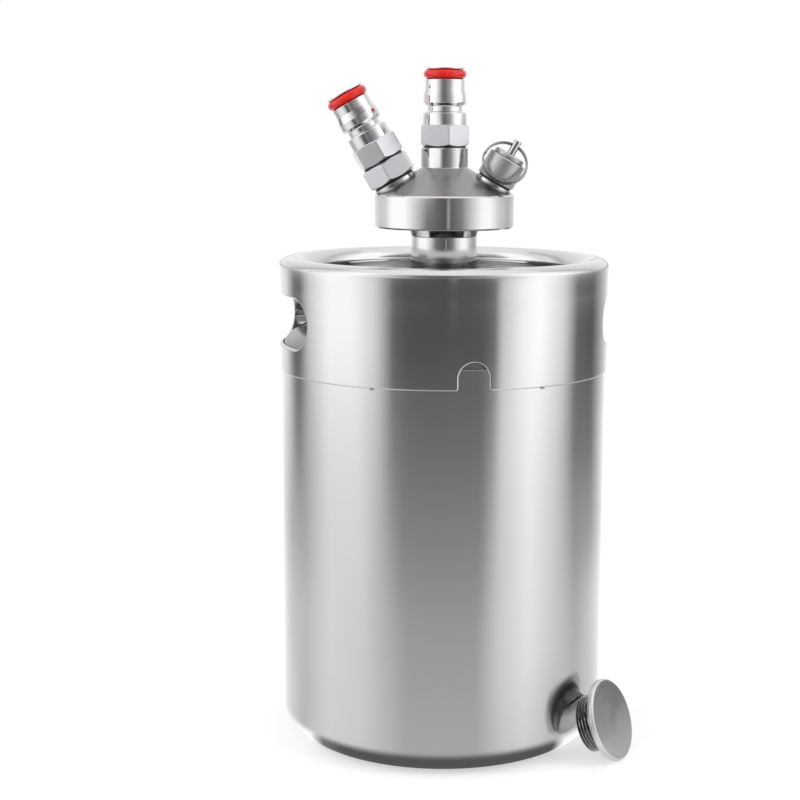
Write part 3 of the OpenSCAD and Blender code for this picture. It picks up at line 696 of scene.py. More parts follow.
def turned(name, outline, material, sides=192, pitch=2.0, depth=1.0, closed=False):
    """A lathe-turned mesh from an outline; closed joins the outline's end to its start."""
    if closed:
        outline = [*outline, outline[0]]
    sizes = {"Sides": sides, "Rows": len(outline)}
    thread = {"Thread_pitch": pitch * MM, "Thread_depth": depth * MM}
    mesh = grown(name, "Turned piece", outline_mesh(outline), material, **sizes, **thread)
    facing_out(mesh)
    return mesh


def rod(name, r, low, high, material, sides, ease_low=0.0, ease_high=0.0):
    """A solid round rod with its edges eased."""
    corners = [(0, low, 0), (r, low, ease_low), (r, high, ease_high), (0, high, 0)]
    return turned(name, eased(corners), material, sides)


def torus(name, mean_r, section, z, material, sides=160):
    """A ring of round section."""
    circle = arc((0, 0), section / 2, 0, 360, 28)[:-1]
    outline = [(mean_r + r, z + h, 0.0) for r, h, _ in circle]
    return turned(name, outline, material, sides, closed=True)


def quads(rows, columns, wrap=True, first=0):
    """Faces of a grid of points, row after row; wrap joins the ends of each row."""
    for i in range(rows - 1):
        a, b = first + i * columns, first + (i + 1) * columns
        for j in range(columns if wrap else columns - 1):
            k = (j + 1) % columns
            yield a + j, b + j, b + k, a + k


def hexagon(name, corners, height, turn, bevel, low=0.0, steps=14):
    """A satin hexagon with turned chamfers whose arcs cut into its flats."""
    flat = corners / 2 * math.cos(HALF_SIDE)
    face_r = flat - HEX_FACE_IN
    angles = [60 * side + 60 * k / steps for side in range(6) for k in range(steps)]
    rings = [[], [], [], []]
    for a in angles:
        r = flat / math.cos(math.radians(a % 60 - 30))
        drop = (r - face_r) * math.tan(HALF_SIDE)
        heading = math.radians(a + turn - 90)
        aim = np.array((math.cos(heading), math.sin(heading)))
        high = low + height
        spots = [(face_r, high), (r, high - drop), (r, low + drop), (face_r, low)]
        for ring, (radius, z) in zip(rings, spots):
            ring.append((*(aim * radius), z))
    count = len(angles)
    ends = [tuple(range(count)), tuple(reversed(range(3 * count, 4 * count)))]
    mesh = bpy.data.meshes.new(name)
    points = [tuple(c * MM for c in p) for ring in rings for p in ring]
    mesh.from_pydata(points, [], [*quads(4, count), *ends])
    mesh.materials.append(finish("satin_hexagon"))
    facing_out(mesh)
    rounded = {"width": bevel * MM, "segments": 2, "angle_limit": math.radians(24)}
    return modified(mesh, "BEVEL", limit_method="ANGLE", **rounded)


def joined(name, meshes):
    """Several meshes as one, with their materials kept."""
    points, faces, slots, materials = [], [], [], []
    for mesh in meshes:
        first = len(points)
        points += [v.co[:] for v in mesh.vertices]
        materials += [m for m in mesh.materials if m not in materials]
        local = [materials.index(m) for m in mesh.materials]
        for polygon in mesh.polygons:
            faces.append([first + v for v in polygon.vertices])
            slots.append(local[polygon.material_index])
        bpy.data.meshes.remove(mesh)
    whole = bpy.data.meshes.new(name)
    whole.from_pydata(points, [], faces)
    for material in materials:
        whole.materials.append(material)
    whole.polygons.foreach_set("material_index", slots)
    return whole


def dressed(mesh, material, low, high):
    """Gives a material to the faces whose centres lie between two heights, in millimetres."""
    mesh.materials.append(finish(material))
    last = len(mesh.materials) - 1
    for polygon in mesh.polygons:
        if low < polygon.center.z / MM < high:
            polygon.material_index = last


def stamp_outward(mesh, at):
    """Keeps each point's direction away from the piece's axis."""
    turn = at.to_3x3()
    outward = mesh.attributes.new("outward", "FLOAT_VECTOR", "POINT")
    for point, value in zip(mesh.vertices, outward.data):
        value.vector = turn @ Vector((point.co.x, point.co.y, 0.0)).normalized()


def stamp_own(mesh):
    """Keeps each point's place along the piece's own axes, in millimetres."""
    points = np.zeros(len(mesh.vertices) * 3, np.float32)
    mesh.vertices.foreach_get("co", points)
    own = mesh.attributes.new("own", "FLOAT_VECTOR", "POINT")
    own.data.foreach_set("vector", points / MM)


def piece(name, mesh, body, nodes, at=ON_KEG, crease=32.0):
    """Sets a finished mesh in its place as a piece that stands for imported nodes."""
    stamp_own(mesh)
    if not mesh.has_custom_normals:
        mesh.shade_smooth()
        mesh.set_sharp_from_angle(angle=math.radians(crease))
        mesh = modified(mesh, "WEIGHTED_NORMAL", keep_sharp=True)
    mesh.transform(at)
    thing = shown(name, mesh)
    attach(thing, body)
    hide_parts(*nodes)
    return thing


def add_washer(name, nodes, at, inner, outer, low, thick, ease=0.25):
    """A flat black seal on the head as a piece."""
    high = low + thick
    corners = [(inner, low, 0.1), (outer, low, ease), (outer, high, ease), (inner, high, 0.1)]
    washer = turned(name, eased(corners), "black_seal", 96, closed=True)
    piece(name, washer, "head", nodes, at)


def add_spring(name, nodes, joint, at, fixed, moved, mean_r, wire_r, curls):
    """A spring between two heights; joint is not used.

    Its end curls lie flat.
    """
    low, length = min(fixed, moved), abs(moved - fixed)
    line = []
    for t in np.linspace(0, 1, 24 * curls + 1):
        rise = np.interp(t * curls, [0, 0.8, curls - 0.8, curls], [0.03, 0.1, 0.9, 0.97])
        a = 2 * math.pi * curls * t
        z = low + wire_r + (length - 2 * wire_r) * (rise - 0.03) / 0.94
        line.append((mean_r * math.cos(a), mean_r * math.sin(a), z))
    wire = {"Wire_radius": wire_r * MM, "Wire_sides": 12}
    mesh = grown(name, "Bent wire", line_mesh(line), "spring_wire", **wire)
    coil = piece(name, mesh, "head", nodes, at)
    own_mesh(coil)


def cut_out(mesh, tool):
    """The mesh less a cutting tool's mesh."""
    cutter = shown("cutter", tool)
    made = modified(mesh, "BOOLEAN", operation="DIFFERENCE", solver="EXACT", object=cutter)
    bpy.data.objects.remove(cutter)
    return made


class Skin:
    """The outer side of a sheet-metal piece, gathered in blocks, in millimetres."""

    def __init__(self):
        self.points, self.normals, self.faces = [], [], []

    def add(self, points, normals):
        """Adds points with their exact normals; the answer is the number of the first."""
        first = len(self.points)
        self.points.extend(np.reshape(points, (-1, 3)).astype(float))
        self.normals.extend(np.reshape(normals, (-1, 3)).astype(float))
        return first

    def add_grid(self, points, normals, rows, columns, wrap=False):
        """Adds a grid of points, row after row, with its faces."""
        self.faces += quads(rows, columns, wrap, self.add(points, normals))

    def mesh(self, name, thickness, material):
        """The closed mesh of the sheet, its points welded where blocks meet."""
        points, normals = np.array(self.points), np.array(self.normals)
        keys, first, order = {}, [], []
        for i, key in enumerate(map(tuple, np.round(points, 4))):
            if key not in keys:
                keys[key] = len(first)
                first.append(i)
            order.append(keys[key])
        outer, aim = points[first], normals[first]
        kept = []
        for face in self.faces:
            ids = [order[v] for v in face]
            ids = [v for i, v in enumerate(ids) if v != ids[i - 1]]
            if len(set(ids)) < 3:
                continue
            a, b, c = (outer[v] for v in ids[:3])
            if np.cross(b - a, c - a) @ aim[ids].sum(axis=0) < 0:
                ids.reverse()
            kept.append(ids)
        seen = {(ids[i - 1], v) for ids in kept for i, v in enumerate(ids)}
        inner, count = outer - thickness * aim, len(outer)
        backs = [[v + count for v in reversed(ids)] for ids in kept]
        corners = [aim[v] for ids in kept for v in ids]
        corners += [-aim[v - count] for back in backs for v in back]
        edges = []
        for a, b in seen:
            if (b, a) not in seen:
                edges.append([b, a, a + count, b + count])
                flat = np.cross(outer[a] - outer[b], inner[a] - outer[b])
                corners += [flat / max(np.linalg.norm(flat), 1e-12)] * 4
        mesh = bpy.data.meshes.new(name)
        mesh.from_pydata(np.vstack([outer, inner]) * MM, [], kept + backs + edges)
        mesh.materials.append(finish(material))
        mesh.shade_smooth()
        mesh.normals_split_custom_set([tuple(n) for n in corners])
        return mesh


# Keg


def lower_shell_mesh():
    """Drawn shell: pushed-up base, foot ring, rounded corner, straight wall, eased edge."""
    inside = SHELL_R - SHEET_T
    corner = SHELL_R - CORNER_R
    rise_r = FOOT_IN_R - 2 * BASE_RISE
    floor = [(0, BASE_RISE, 0), (rise_r, BASE_RISE, 5), (FOOT_IN_R, 0, 3), (corner, 0, 0)]
    base = eased(floor, 8)
    inner_base = eased([(r, z + SHEET_T, ease) for r, z, ease in reversed(floor)], 6)
    top = [(SHELL_R, SHELL_Z, 0.35), (inside, SHELL_Z, 0.35)]
    edge = eased([(SHELL_R, CORNER_R + 1, 0), *top, (inside, CORNER_R + 1, 0)], 4)
    outline = (
        base[:-1]
        + arc((corner, CORNER_R), CORNER_R, -90, 0, 26)
        + [(SHELL_R, z, 0.0) for z in np.linspace(CORNER_R + 4, SHELL_Z - 4, 28)]
        + edge[1:-1]
        + arc((corner, CORNER_R), CORNER_R - SHEET_T, 0, -90, 18)
        + inner_base[1:]
    )
    return turned("shell_sheet", outline, "satin_shell", 320)


def crown_point(r, inset=0.0):
    """Height of the top end's face at a radius, drawn in by an inset."""
    centre = KNUCKLE_Z - math.sqrt((CROWN_R - KNUCKLE_R) ** 2 - (END_R - KNUCKLE_R) ** 2)
    return centre + math.sqrt((CROWN_R - inset) ** 2 - r * r)


def top_end_mesh():
    """Domed end: skirt, knuckle and shallow crown up to the neck."""
    centre_r = END_R - KNUCKLE_R
    lean = math.degrees(math.asin(centre_r / (CROWN_R - KNUCKLE_R)))
    hole = NECK_R + 0.05
    outer, inner = [(END_R, END_LOW, 0.0)], []
    for line, inset in ((outer, 0.0), (inner, SHEET_T)):
        tip = centre_r + (KNUCKLE_R - inset) * math.sin(math.radians(lean))
        line += arc((centre_r, KNUCKLE_Z), KNUCKLE_R - inset, 0, 90 - lean, 16)
        line += [(r, crown_point(r, inset), 0.0) for r in np.linspace(tip, hole, 18)[1:]]
    inner.insert(0, (END_R - SHEET_T, END_LOW, 0.0))
    # The top end wears steel painted darker, as shade inside the well under the collar
    return turned("end_sheet", outer + inner[::-1], "drawn_end", 256, closed=True)


# The collar's sheet: where its joint stands, the end of its wall below the rim, its hand holes
COLLAR_START = math.radians(60.0)
COLLAR_STEPS = 384
WALL_TOP = RIM_Z - 17.0
HAND_HOLES = (HAND_AZIMUTH, HAND_AZIMUTH + 180)

# The wall's grid of points keeps this far off the cuts; faces may pass them by this much
OFF_CUTS = 0.5
PAST_CUTS = 0.02


def stadium(width, height, count):
    """Points and outward normals round a stadium in its plane (across, up)."""
    straight, r = width - height, height / 2
    half_way = straight + math.pi * r
    points, aims = [], []
    for k in range(count):
        way = 2 * half_way * k / count
        side = 1 if way < half_way else -1
        way -= 0 if side > 0 else half_way
        x, across, up = straight / 2 - way, 0.0, 1.0
        if way >= straight:
            a = math.pi / 2 + (way - straight) / r
            x, across, up = -straight / 2, math.cos(a), math.sin(a)
        points.append((side * (x + r * across), side * r * up))
        aims.append((side * across, side * up))
    return np.array(points), np.array(aims)


def shoulder_limit(z):
    """Radius that a lip keeps outside of at a height, over the shell's edge and the top end."""
    if z < SHELL_Z + 0.4:
        return COLLAR_R - COLLAR_T
    if z < KNUCKLE_Z + KNUCKLE_R:
        return END_R - KNUCKLE_R + math.sqrt(KNUCKLE_R**2 - (z - KNUCKLE_Z) ** 2) + 0.4
    return 0.0


def add_rim(skin, turns):
    """Rolled rim: the wall flares softly into the roll, tighter outside, which curls down."""
    rim_r, section = RIM_R - 0.03, []
    for t in np.linspace(0, 1, 12)[:-1]:
        rise = (RIM_Z - ROLL_DROP - WALL_TOP) * t
        section.append((COLLAR_R + (rim_r - COLLAR_R) * (3 - 2 * t) * t**2, WALL_TOP + rise))
    for a in np.radians(np.linspace(0.0, CURL_END, 60)):
        drop = ROLL_DROP if a < math.pi / 2 else ROLL_R
        section.append((rim_r - ROLL_R * (1 - math.cos(a)), RIM_Z - drop * (1 - math.sin(a))))
    along = np.gradient(np.array(section), axis=0)
    along /= np.linalg.norm(along, axis=1)[:, None]
    along[0] = (0, 1)
    out = np.stack([np.cos(COLLAR_START + turns), np.sin(COLLAR_START + turns)], axis=1)
    points = [[(*(o * r), z) for o in out] for r, z in section]
    normals = [[(*(o * up), -across) for o in out] for across, up in along]
    skin.add_grid(points, normals, len(section), len(turns))


def unrolled(azimuth, across):
    """Distance along the unrolled collar of a point beside an azimuth."""
    turn = math.radians(azimuth) + np.arcsin(across / COLLAR_R)
    return float(COLLAR_R * ((turn - COLLAR_START) % (2 * math.pi)))


def notch_lines():
    """Edges of both notches: the place on the unrolled collar and the way into the sheet."""
    half, foot = NOTCH_W / 2, NOTCH_FOOT_R
    left = [
        (-half - foot + foot * math.cos(a), foot + foot * math.sin(a), -math.cos(a), -math.sin(a))
        for a in np.radians(np.linspace(-90, 0, 9))
    ]
    left += [(-half, z, -1.0, 0.0) for z in np.linspace(foot, NOTCH_H - half, 5)[1:-1]]
    arch = [
        (-half * math.cos(a), NOTCH_H - half + half * math.sin(a), -math.cos(a), math.sin(a))
        for a in np.linspace(0, math.pi, 31)
    ]
    whole = left + arch + [(-x, z, -across, up) for x, z, across, up in reversed(left)]
    lines = [
        [(unrolled(azimuth, x), SEAM_Z + z, across, up) for x, z, across, up in whole]
        for azimuth in (NOTCH_AZIMUTH, NOTCH_AZIMUTH + 180)
    ]
    return sorted(lines, key=lambda line: line[0][0])


def in_notch(notches, s, z, margin):
    """Whether a place on the unrolled collar is in a notch or within a margin round it."""
    half, foot, rise = NOTCH_W / 2, NOTCH_FOOT_R, z - SEAM_Z
    for line in notches:
        across = abs(s - (line[0][0] + line[-1][0]) / 2)
        by_foot = across < half + foot and rise < foot
        if by_foot and math.hypot(across - half - foot, rise - foot) > foot - margin:
            return True
        if math.hypot(across, max(rise - NOTCH_H + half, 0)) < half + margin:
            return True
    return False


def in_hole(fold, s, z, margin):
    """The same for a hand hole and its folded edge."""
    for azimuth in HAND_HOLES:
        turn = s / COLLAR_R + COLLAR_START - math.radians(azimuth)
        beyond = max(abs(COLLAR_R * math.sin(turn)) - (HAND_W - HAND_H) / 2, 0)
        near = math.hypot(beyond, z - HAND_Z) < HAND_H / 2 + fold + margin
        if near and math.cos(turn) >= 0:
            return True
    return False


def add_lower_edge(skin, bottom):
    """Rounds the lower edge, given as places on the unrolled collar and ways into the sheet."""
    points, normals = [], []
    for a in np.linspace(0, math.pi / 2, 7):
        back, deep = EDGE_R * (1 - math.sin(a)), EDGE_R * (1 - math.cos(a))
        for s, z, across, up in bottom:
            turn = (s + back * across) / COLLAR_R + COLLAR_START
            cos, sin = math.cos(turn), math.sin(turn)
            points.append(((COLLAR_R - deep) * cos, (COLLAR_R - deep) * sin, z + back * up))
            side = across * math.sin(a)
            aim = (cos * math.cos(a) + sin * side, sin * math.cos(a) - cos * side)
            normals.append((*aim, -up * math.sin(a)))
    skin.add_grid(points, normals, 7, len(bottom))


def add_wall(skin, turns, fold, contour):
    """Wall: cut as a flat sheet, with its holes and notches, then rolled up."""
    notches = notch_lines()
    columns = [float(s) for s in COLLAR_R * turns]
    seam = [(s, SEAM_Z, 0.0, 1.0) for s in columns]
    for line in notches:
        seam = [p for p in seam if not line[0][0] - 0.3 < p[0] < line[-1][0] + 0.3]
    first, last = notches
    bottom = [p for p in seam if p[0] < first[0][0]] + first
    bottom += [p for p in seam if first[-1][0] < p[0] < last[0][0]] + last
    bottom += [p for p in seam if p[0] > last[-1][0]]
    flat, edges = [], []

    def is_sheet(s, z, margin):
        cut = in_hole(fold, s, z, margin) or in_notch(notches, s, z, EDGE_R + margin)
        return not cut

    def chain(line, closed=False):
        ids = list(range(len(flat), len(flat) + len(line)))
        flat.extend(line)
        edges.extend(zip(ids, ids[1:] + ids[:1]) if closed else zip(ids, ids[1:]))

    chain([(s + EDGE_R * across, z + EDGE_R * up) for s, z, across, up in bottom])
    add_lower_edge(skin, bottom)
    chain([(s, WALL_TOP) for s in columns])
    for azimuth in HAND_HOLES:
        chain([(unrolled(azimuth, x), HAND_Z + z) for x, z in contour], closed=True)
    for z in np.linspace(SEAM_Z, WALL_TOP, 26)[1:-1]:
        for s in columns:
            if is_sheet(s, z, OFF_CUTS):
                flat.append((s, float(z)))
    spots, _, triangles, *_ = delaunay_2d_cdt([Vector(p) for p in flat], edges, [], 0, 1e-5)
    spots = np.array([(p.x, p.y) for p in spots])
    angle = spots[:, 0] / COLLAR_R + COLLAR_START
    out = np.stack([np.cos(angle), np.sin(angle), np.zeros_like(angle)], axis=-1)
    at = out * COLLAR_R
    at[:, 2] = spots[:, 1]
    start = skin.add(at, out)
    for face in triangles:
        s, z = spots[list(face)].mean(axis=0)
        if is_sheet(s, z, -PAST_CUTS):
            skin.faces.append(tuple(start + v for v in face))


def add_lip(skin, azimuth, fold, contour, aims):
    """Lip: the sheet folds in round a hand hole, and stops short of the top end."""
    turn = Matrix.Rotation(math.radians(azimuth), 3, "Z")
    grid = []
    for (x, z), (nx, nz) in zip(contour, aims):
        edge_x, edge_z = x - nx * fold, z - nz * fold
        surface = math.sqrt(COLLAR_R**2 - edge_x**2)
        limit = shoulder_limit(HAND_Z + edge_z - COLLAR_T - 0.3)
        room = surface - math.sqrt(max(limit**2 - edge_x**2, LIP_IN_R**2 - edge_x**2))
        row = []
        for a in np.linspace(0, math.pi / 2, 8):
            px, pz = x - nx * fold * math.sin(a), z - nz * fold * math.sin(a)
            row.append((math.sqrt(COLLAR_R**2 - px**2) - fold * (1 - math.cos(a)), px, pz))
        for depth in np.linspace(fold, max(room, fold + 0.1), 5)[1:]:
            row.append((surface - depth, edge_x, edge_z))
        grid.append([tuple(turn @ Vector((u, v, HAND_Z + w))) for u, v, w in row])
    grid = np.array(grid)
    along = np.roll(grid, -1, axis=0) - np.roll(grid, 1, axis=0)
    aim = np.cross(along, np.gradient(grid, axis=1))
    aim /= np.maximum(np.linalg.norm(aim, axis=2), 1e-9)[..., None]
    radial = grid[:, 0] * np.array((1, 1, 0)) / COLLAR_R
    if (aim[:, 0] * radial).sum() < 0:
        aim = -aim
    aim[:, 0] = radial
    count, deep = grid.shape[:2]
    skin.add_grid(grid.swapaxes(0, 1), aim.swapaxes(0, 1), deep, count, wrap=True)


def collar_mesh(fold):
    """Collar sheet with its rolled rim, folded hand-hole lips and arched drain notches."""
    skin = Skin()
    turns = np.linspace(0, 2 * math.pi, COLLAR_STEPS + 1)
    contour, aims = stadium(HAND_W + 2 * fold, HAND_H + 2 * fold, 220)
    add_rim(skin, turns)
    add_wall(skin, turns, fold, contour)
    for azimuth in HAND_HOLES:
        add_lip(skin, azimuth, fold, contour, aims)
    return skin.mesh("collar_sheet", COLLAR_T, "satin_collar")


def neck_mesh():
    """Threaded neck with rounded edges and a counterbore for the seal."""
    foot = crown_point(NECK_R) - NECK_DEPTH
    mouth_r, mouth_z = 16.6, NECK_Z - 2.7
    outside = [
        (BORE_R + 0.8, foot, 0.2), (NECK_R - 0.8, foot, 0.2), (NECK_R, foot + 0.8, 0.2),
        (NECK_R, NECK_Z - 0.9, 0.5), (NECK_R - 0.9, NECK_Z, 0.5),
    ]
    mouth = [
        (mouth_r + 0.3, NECK_Z, 0.2), (mouth_r, NECK_Z - 0.4, 0.2), (mouth_r, mouth_z, 0.15),
        (BORE_R + 0.4, mouth_z, 0.15), (BORE_R, mouth_z - 0.4, 0),
    ]
    outline = eased(outside + mouth) + threaded(BORE_R, foot + 0.8, mouth_z - 0.4)[::-1]
    return turned("neck", outline, "turned_neck", 180, 2.0, -0.9, closed=True)


# Operators


class KEG_OT_shell(bpy.types.Operator):
    """Make the drawn lower shell and the domed top end"""

    bl_idname = "keg.shell"
    bl_label = "Shell and top end"

    def execute(self, context):
        piece("shell", lower_shell_mesh(), "keg", ["lower_shell"], crease=40)
        piece("end", top_end_mesh(), "keg", ["top_end"])
        return {"FINISHED"}


class KEG_OT_collar(bpy.types.Operator):
    """Make the collar with its rolled rim, hand holes and drain notches"""

    bl_idname = "keg.collar"
    bl_label = "Collar"

    def execute(self, context):
        mesh = collar_mesh(context.scene.keg_forms.lip_fold)
        piece("collar_with_rim", mesh, "keg", ["collar"])
        return {"FINISHED"}


class KEG_OT_welds(bpy.types.Operator):
    """Make the tack welds on the seam and the rippled weld round the neck"""

    bl_idname = "keg.welds"
    bl_label = "Welds"

    def execute(self, context):
        tacks = []
        r = COLLAR_R - 0.35
        for side in (0, 180):
            for turn in TACK_ANGLES:
                a = math.radians(NOTCH_AZIMUTH + side + turn)
                cos, sin = math.cos(a), math.sin(a)
                for shift, drop in THREE_BEADS:
                    tacks.append((r * cos - shift * sin, r * sin + shift * cos, SEAM_Z + drop))
        count = context.scene.keg_forms.weld_beads
        r = NECK_R + 0.9
        z = crown_point(r) + 0.7
        turns = [2 * math.pi * k / count for k in range(count)]
        ring = [(r * math.cos(a), r * math.sin(a), z) for a in turns]
        bead = math.pi * r / count * 1.9
        for name, node, line, seed, (long, wide, high) in (
            ("tack_beads", "tack_welds", line_mesh(tacks), 3, (0.75, 0.7, 0.6)),
            ("neck_weld_beads", "neck_weld", line_mesh(ring, True), 11, (bead, 2.3, 1.2)),
        ):
            sizes = {"Bead_length": long * MM, "Bead_width": wide * MM, "Bead_height": high * MM}
            mesh = grown(name, "Weld bead", line, "weld_metal", Seed=seed, **sizes)
            piece(name, mesh, "keg", [node], crease=60)
        return {"FINISHED"}


class KEG_OT_neck(bpy.types.Operator):
    """Make the threaded neck"""

    bl_idname = "keg.neck"
    bl_label = "Neck"

    def execute(self, context):
        piece("threaded_neck", neck_mesh(), "keg", ["neck"])
        return {"FINISHED"}


def head_outline():
    """Chamber, thread, stub with its flare, disc, cone and boss of the head."""
    thread_low, thread_top = SHOULDER_Z - 8.5, SHOULDER_Z - 3.0
    chamber_r, stub_r = 11.0, 17.7
    flare_r = stub_r + 1.25
    lead = SCREW_R - CHAMFER, thread_low + CHAMFER
    start = eased([(chamber_r, thread_low, 0), (lead[0], thread_low, 0.2), (SCREW_R, lead[1], 0)])
    upper = [
        (SCREW_R, thread_top, 0), (GROOVE_R, thread_top, 0.2), (GROOVE_R, SHOULDER_Z, 0.2),
        (stub_r, SHOULDER_Z, 0.5), (stub_r, DISC_Z - 4.6, 2.0),
        (flare_r, DISC_Z - 0.9, 0.5), (flare_r, DISC_Z, 0.15),
        (DISC_R - CHAMFER, DISC_Z, 0.35), (DISC_R, DISC_Z + CHAMFER, 0.35),
        (DISC_R, DISC_TOP - CHAMFER, 0.35), (DISC_R - CHAMFER, DISC_TOP, 0.35),
        (BOSS_R, cone_z(BOSS_R), 0.5), (BOSS_R, BOSS_Z - 0.3, 0.15),
        (BOSS_R - 0.3, BOSS_Z, 0.15), (0, BOSS_Z, 0),
    ]
    chamber = [(0, CHAMBER_Z, 0), (chamber_r, CHAMBER_Z, 0), (chamber_r, thread_low, 0)]
    thread = threaded(SCREW_R, lead[1], thread_top)
    return chamber + start[1:] + thread + eased(upper)[1:]


class KEG_OT_head(bpy.types.Operator):
    """Make the turned head with its thread, flare, disc, cone and spot faces"""

    bl_idname = "keg.head"
    bl_label = "Head"

    def execute(self, context):
        depth = context.scene.keg_forms.thread_depth
        body = turned("head_body", head_outline(), "turned_head", 288, 2.0, depth)
        dressed(body, "satin_cone", DISC_TOP, cone_z(BOSS_R) - 0.1)
        spots = []
        for at, r in ((ON_SIDE_PORT, NUT_FLAT_R), (ON_RELIEF_PORT, RELIEF_R)):
            spot = rod("spot", r, -4, 0, "turned_head", 120, ease_high=0.2)
            spot.transform(at)
            spots.append(spot)
        mesh = joined("turned_head", [body, *spots])
        piece("turned_head", mesh, "head", ["head"])
        seal_z = NECK_Z - SEAL_SECTION / 2
        seal = torus("neck_seal_ring", SEAL_R, SEAL_SECTION, seal_z, "black_seal")
        piece("neck_seal_ring", seal, "head_lift", ["neck_seal"])
        return {"FINISHED"}


def post_outline():
    """Outside, groove, flare, barrel and bore of a post, as a closed outline."""
    land, lock, flare, barrel, bore = 11.55, 9.3, 11.475, 10.6, 5.0
    root_r, mouth_r, ring_r = 2.5, 4.0, 6.3
    shank = [
        (root_r, -9, 0.1), (SHANK_R - 0.8, -9, 0.2), (SHANK_R, -8.2, 0.2), (SHANK_R, 0, 0.1),
        (land, 5.95, 0.1), (land, 17.5, 0.3), (land - 0.8, 18.3, 0.3),
    ]
    groove = [
        (lock + 0.3, 18.3, 0.1), (lock, 18.7, 0.3), (lock, 21.1, 0.3), (lock + 0.3, 21.5, 0.1),
        (barrel, 21.5, 0.3), (flare, 23.1, 1.0), (flare, 26.7, 1.6), (barrel, 30.5, 1.6),
    ]
    ring_seat = [
        (barrel, 35.1, 0.2), (barrel - 0.3, 35.4, 0.1), (ring_r, 35.4, 0.2), (ring_r, 40.6, 0.2),
        (barrel - 0.15, 40.6, 0.12), (barrel, 40.8, 0.12), (barrel, 41.1, 0.2),
    ]
    top = [(barrel - 0.4, POST_LEN, 0.25), (mouth_r + 0.65, POST_LEN, 0.1)]
    inside = [
        (mouth_r, POST_LEN - 0.65, 0.1), (mouth_r, 39.7, 0.1), (bore, 38.3, 0.1),
        (bore, 21.0, 0.2), (root_r, 21.0, 0.2),
    ]
    return eased(shank + groove + ring_seat + top + inside, 4)


class KEG_OT_posts(bpy.types.Operator):
    """Make the two plug-in posts with their hexagons, red rings and thin seals"""

    bl_idname = "keg.posts"
    bl_label = "Posts"

    def execute(self, context):
        for side, at, foot, low in (
            ("mid", ON_MID_POST, ON_MID_PORT, 0.0),
            ("side", ON_SIDE_POST, ON_SIDE_PORT, NUT_SEAL_T + NUT_H),
        ):
            barrel = turned("barrel", post_outline(), "polished_post", 144, closed=True)
            nut = hexagon("hexagon", POST_HEX, POST_HEX_H, POST_TURN, 0.18)
            name = f"{side}_post_turned"
            piece(name, joined(name, [barrel, nut]), "head", [f"{side}_post"], at)
            ring = torus(f"{side}_red_ring", 8.85, 5.0, 38.0, "red_ring")
            piece(f"{side}_red_ring", ring, "head", [f"{side}_post_ring"], at)
            nodes = [f"{side}_post_seal"]
            add_washer(f"{side}_washer", nodes, foot, SHANK_SEAL_R, 11.45, low, POST_SEAL_T, 0.15)
        return {"FINISHED"}


class KEG_OT_valves(bpy.types.Operator):
    """Make the spring valves inside the posts"""

    bl_idname = "keg.valves"
    bl_label = "Spring valves"

    def execute(self, context):
        seal_z, top, ledge_z = 38.65, 37.8, 21.05
        low = top - 2.6
        guide_r, disc_r, neck_r, pin_r, pin_z = 2.5, 4.4, 2.55, 1.7, 40.6
        corners = [
            (0, low - 6, 0), (guide_r, low - 6, 0.4), (guide_r, low, 0.1), (disc_r, low, 0.2),
            (disc_r, top, 0.2), (neck_r, top, 0.1), (neck_r, seal_z + 0.8, 0.1),
            (pin_r, seal_z + 0.8, 0.1), (pin_r, pin_z - 0.3, 0.1), (pin_r - 0.3, pin_z, 0.1),
            (0, pin_z, 0),
        ]
        for side, at in (("mid", ON_MID_POST), ("side", ON_SIDE_POST)):
            body = f"{side}_valve"
            mesh = turned("poppet", eased(corners), "valve_steel", 72)
            piece(f"{side}_poppet", mesh, body, [body], at)
            seal = torus(f"{side}_poppet_seal", 3.4, 1.6, seal_z, "black_seal", 72)
            piece(f"{side}_poppet_seal", seal, body, [f"{body}_seal"], at)
            wire = {"mean_r": 3.55, "wire_r": 0.45, "curls": 6}
            ends = {"fixed": ledge_z, "moved": low - 0.3}
            joint = f"{side}_valve_press"
            add_spring(f"{side}_coil", [f"{side}_spring"], joint, at, **ends, **wire)
        return {"FINISHED"}


class KEG_OT_side_nut(bpy.types.Operator):
    """Make the hexagonal nut under the slanted post and its seal"""

    bl_idname = "keg.side_nut"
    bl_label = "Side nut"

    def execute(self, context):
        at = ON_SIDE_PORT
        nut = hexagon("nut", NUT_HEX, NUT_H, NUT_TURN, 0.2, low=NUT_SEAL_T)
        shank = rod("shank", SHANK_R, -8, 2, "bright_turned", 96, ease_low=0.4)
        mesh = joined("side_hex_nut", [nut, shank])
        piece("side_hex_nut", mesh, "head", ["side_nut"], at)
        outer = NUT_FLAT_R - 1
        add_washer("nut_washer", ["side_nut_seal"], at, SHANK_SEAL_R, outer, 0, NUT_SEAL_T)
        return {"FINISHED"}


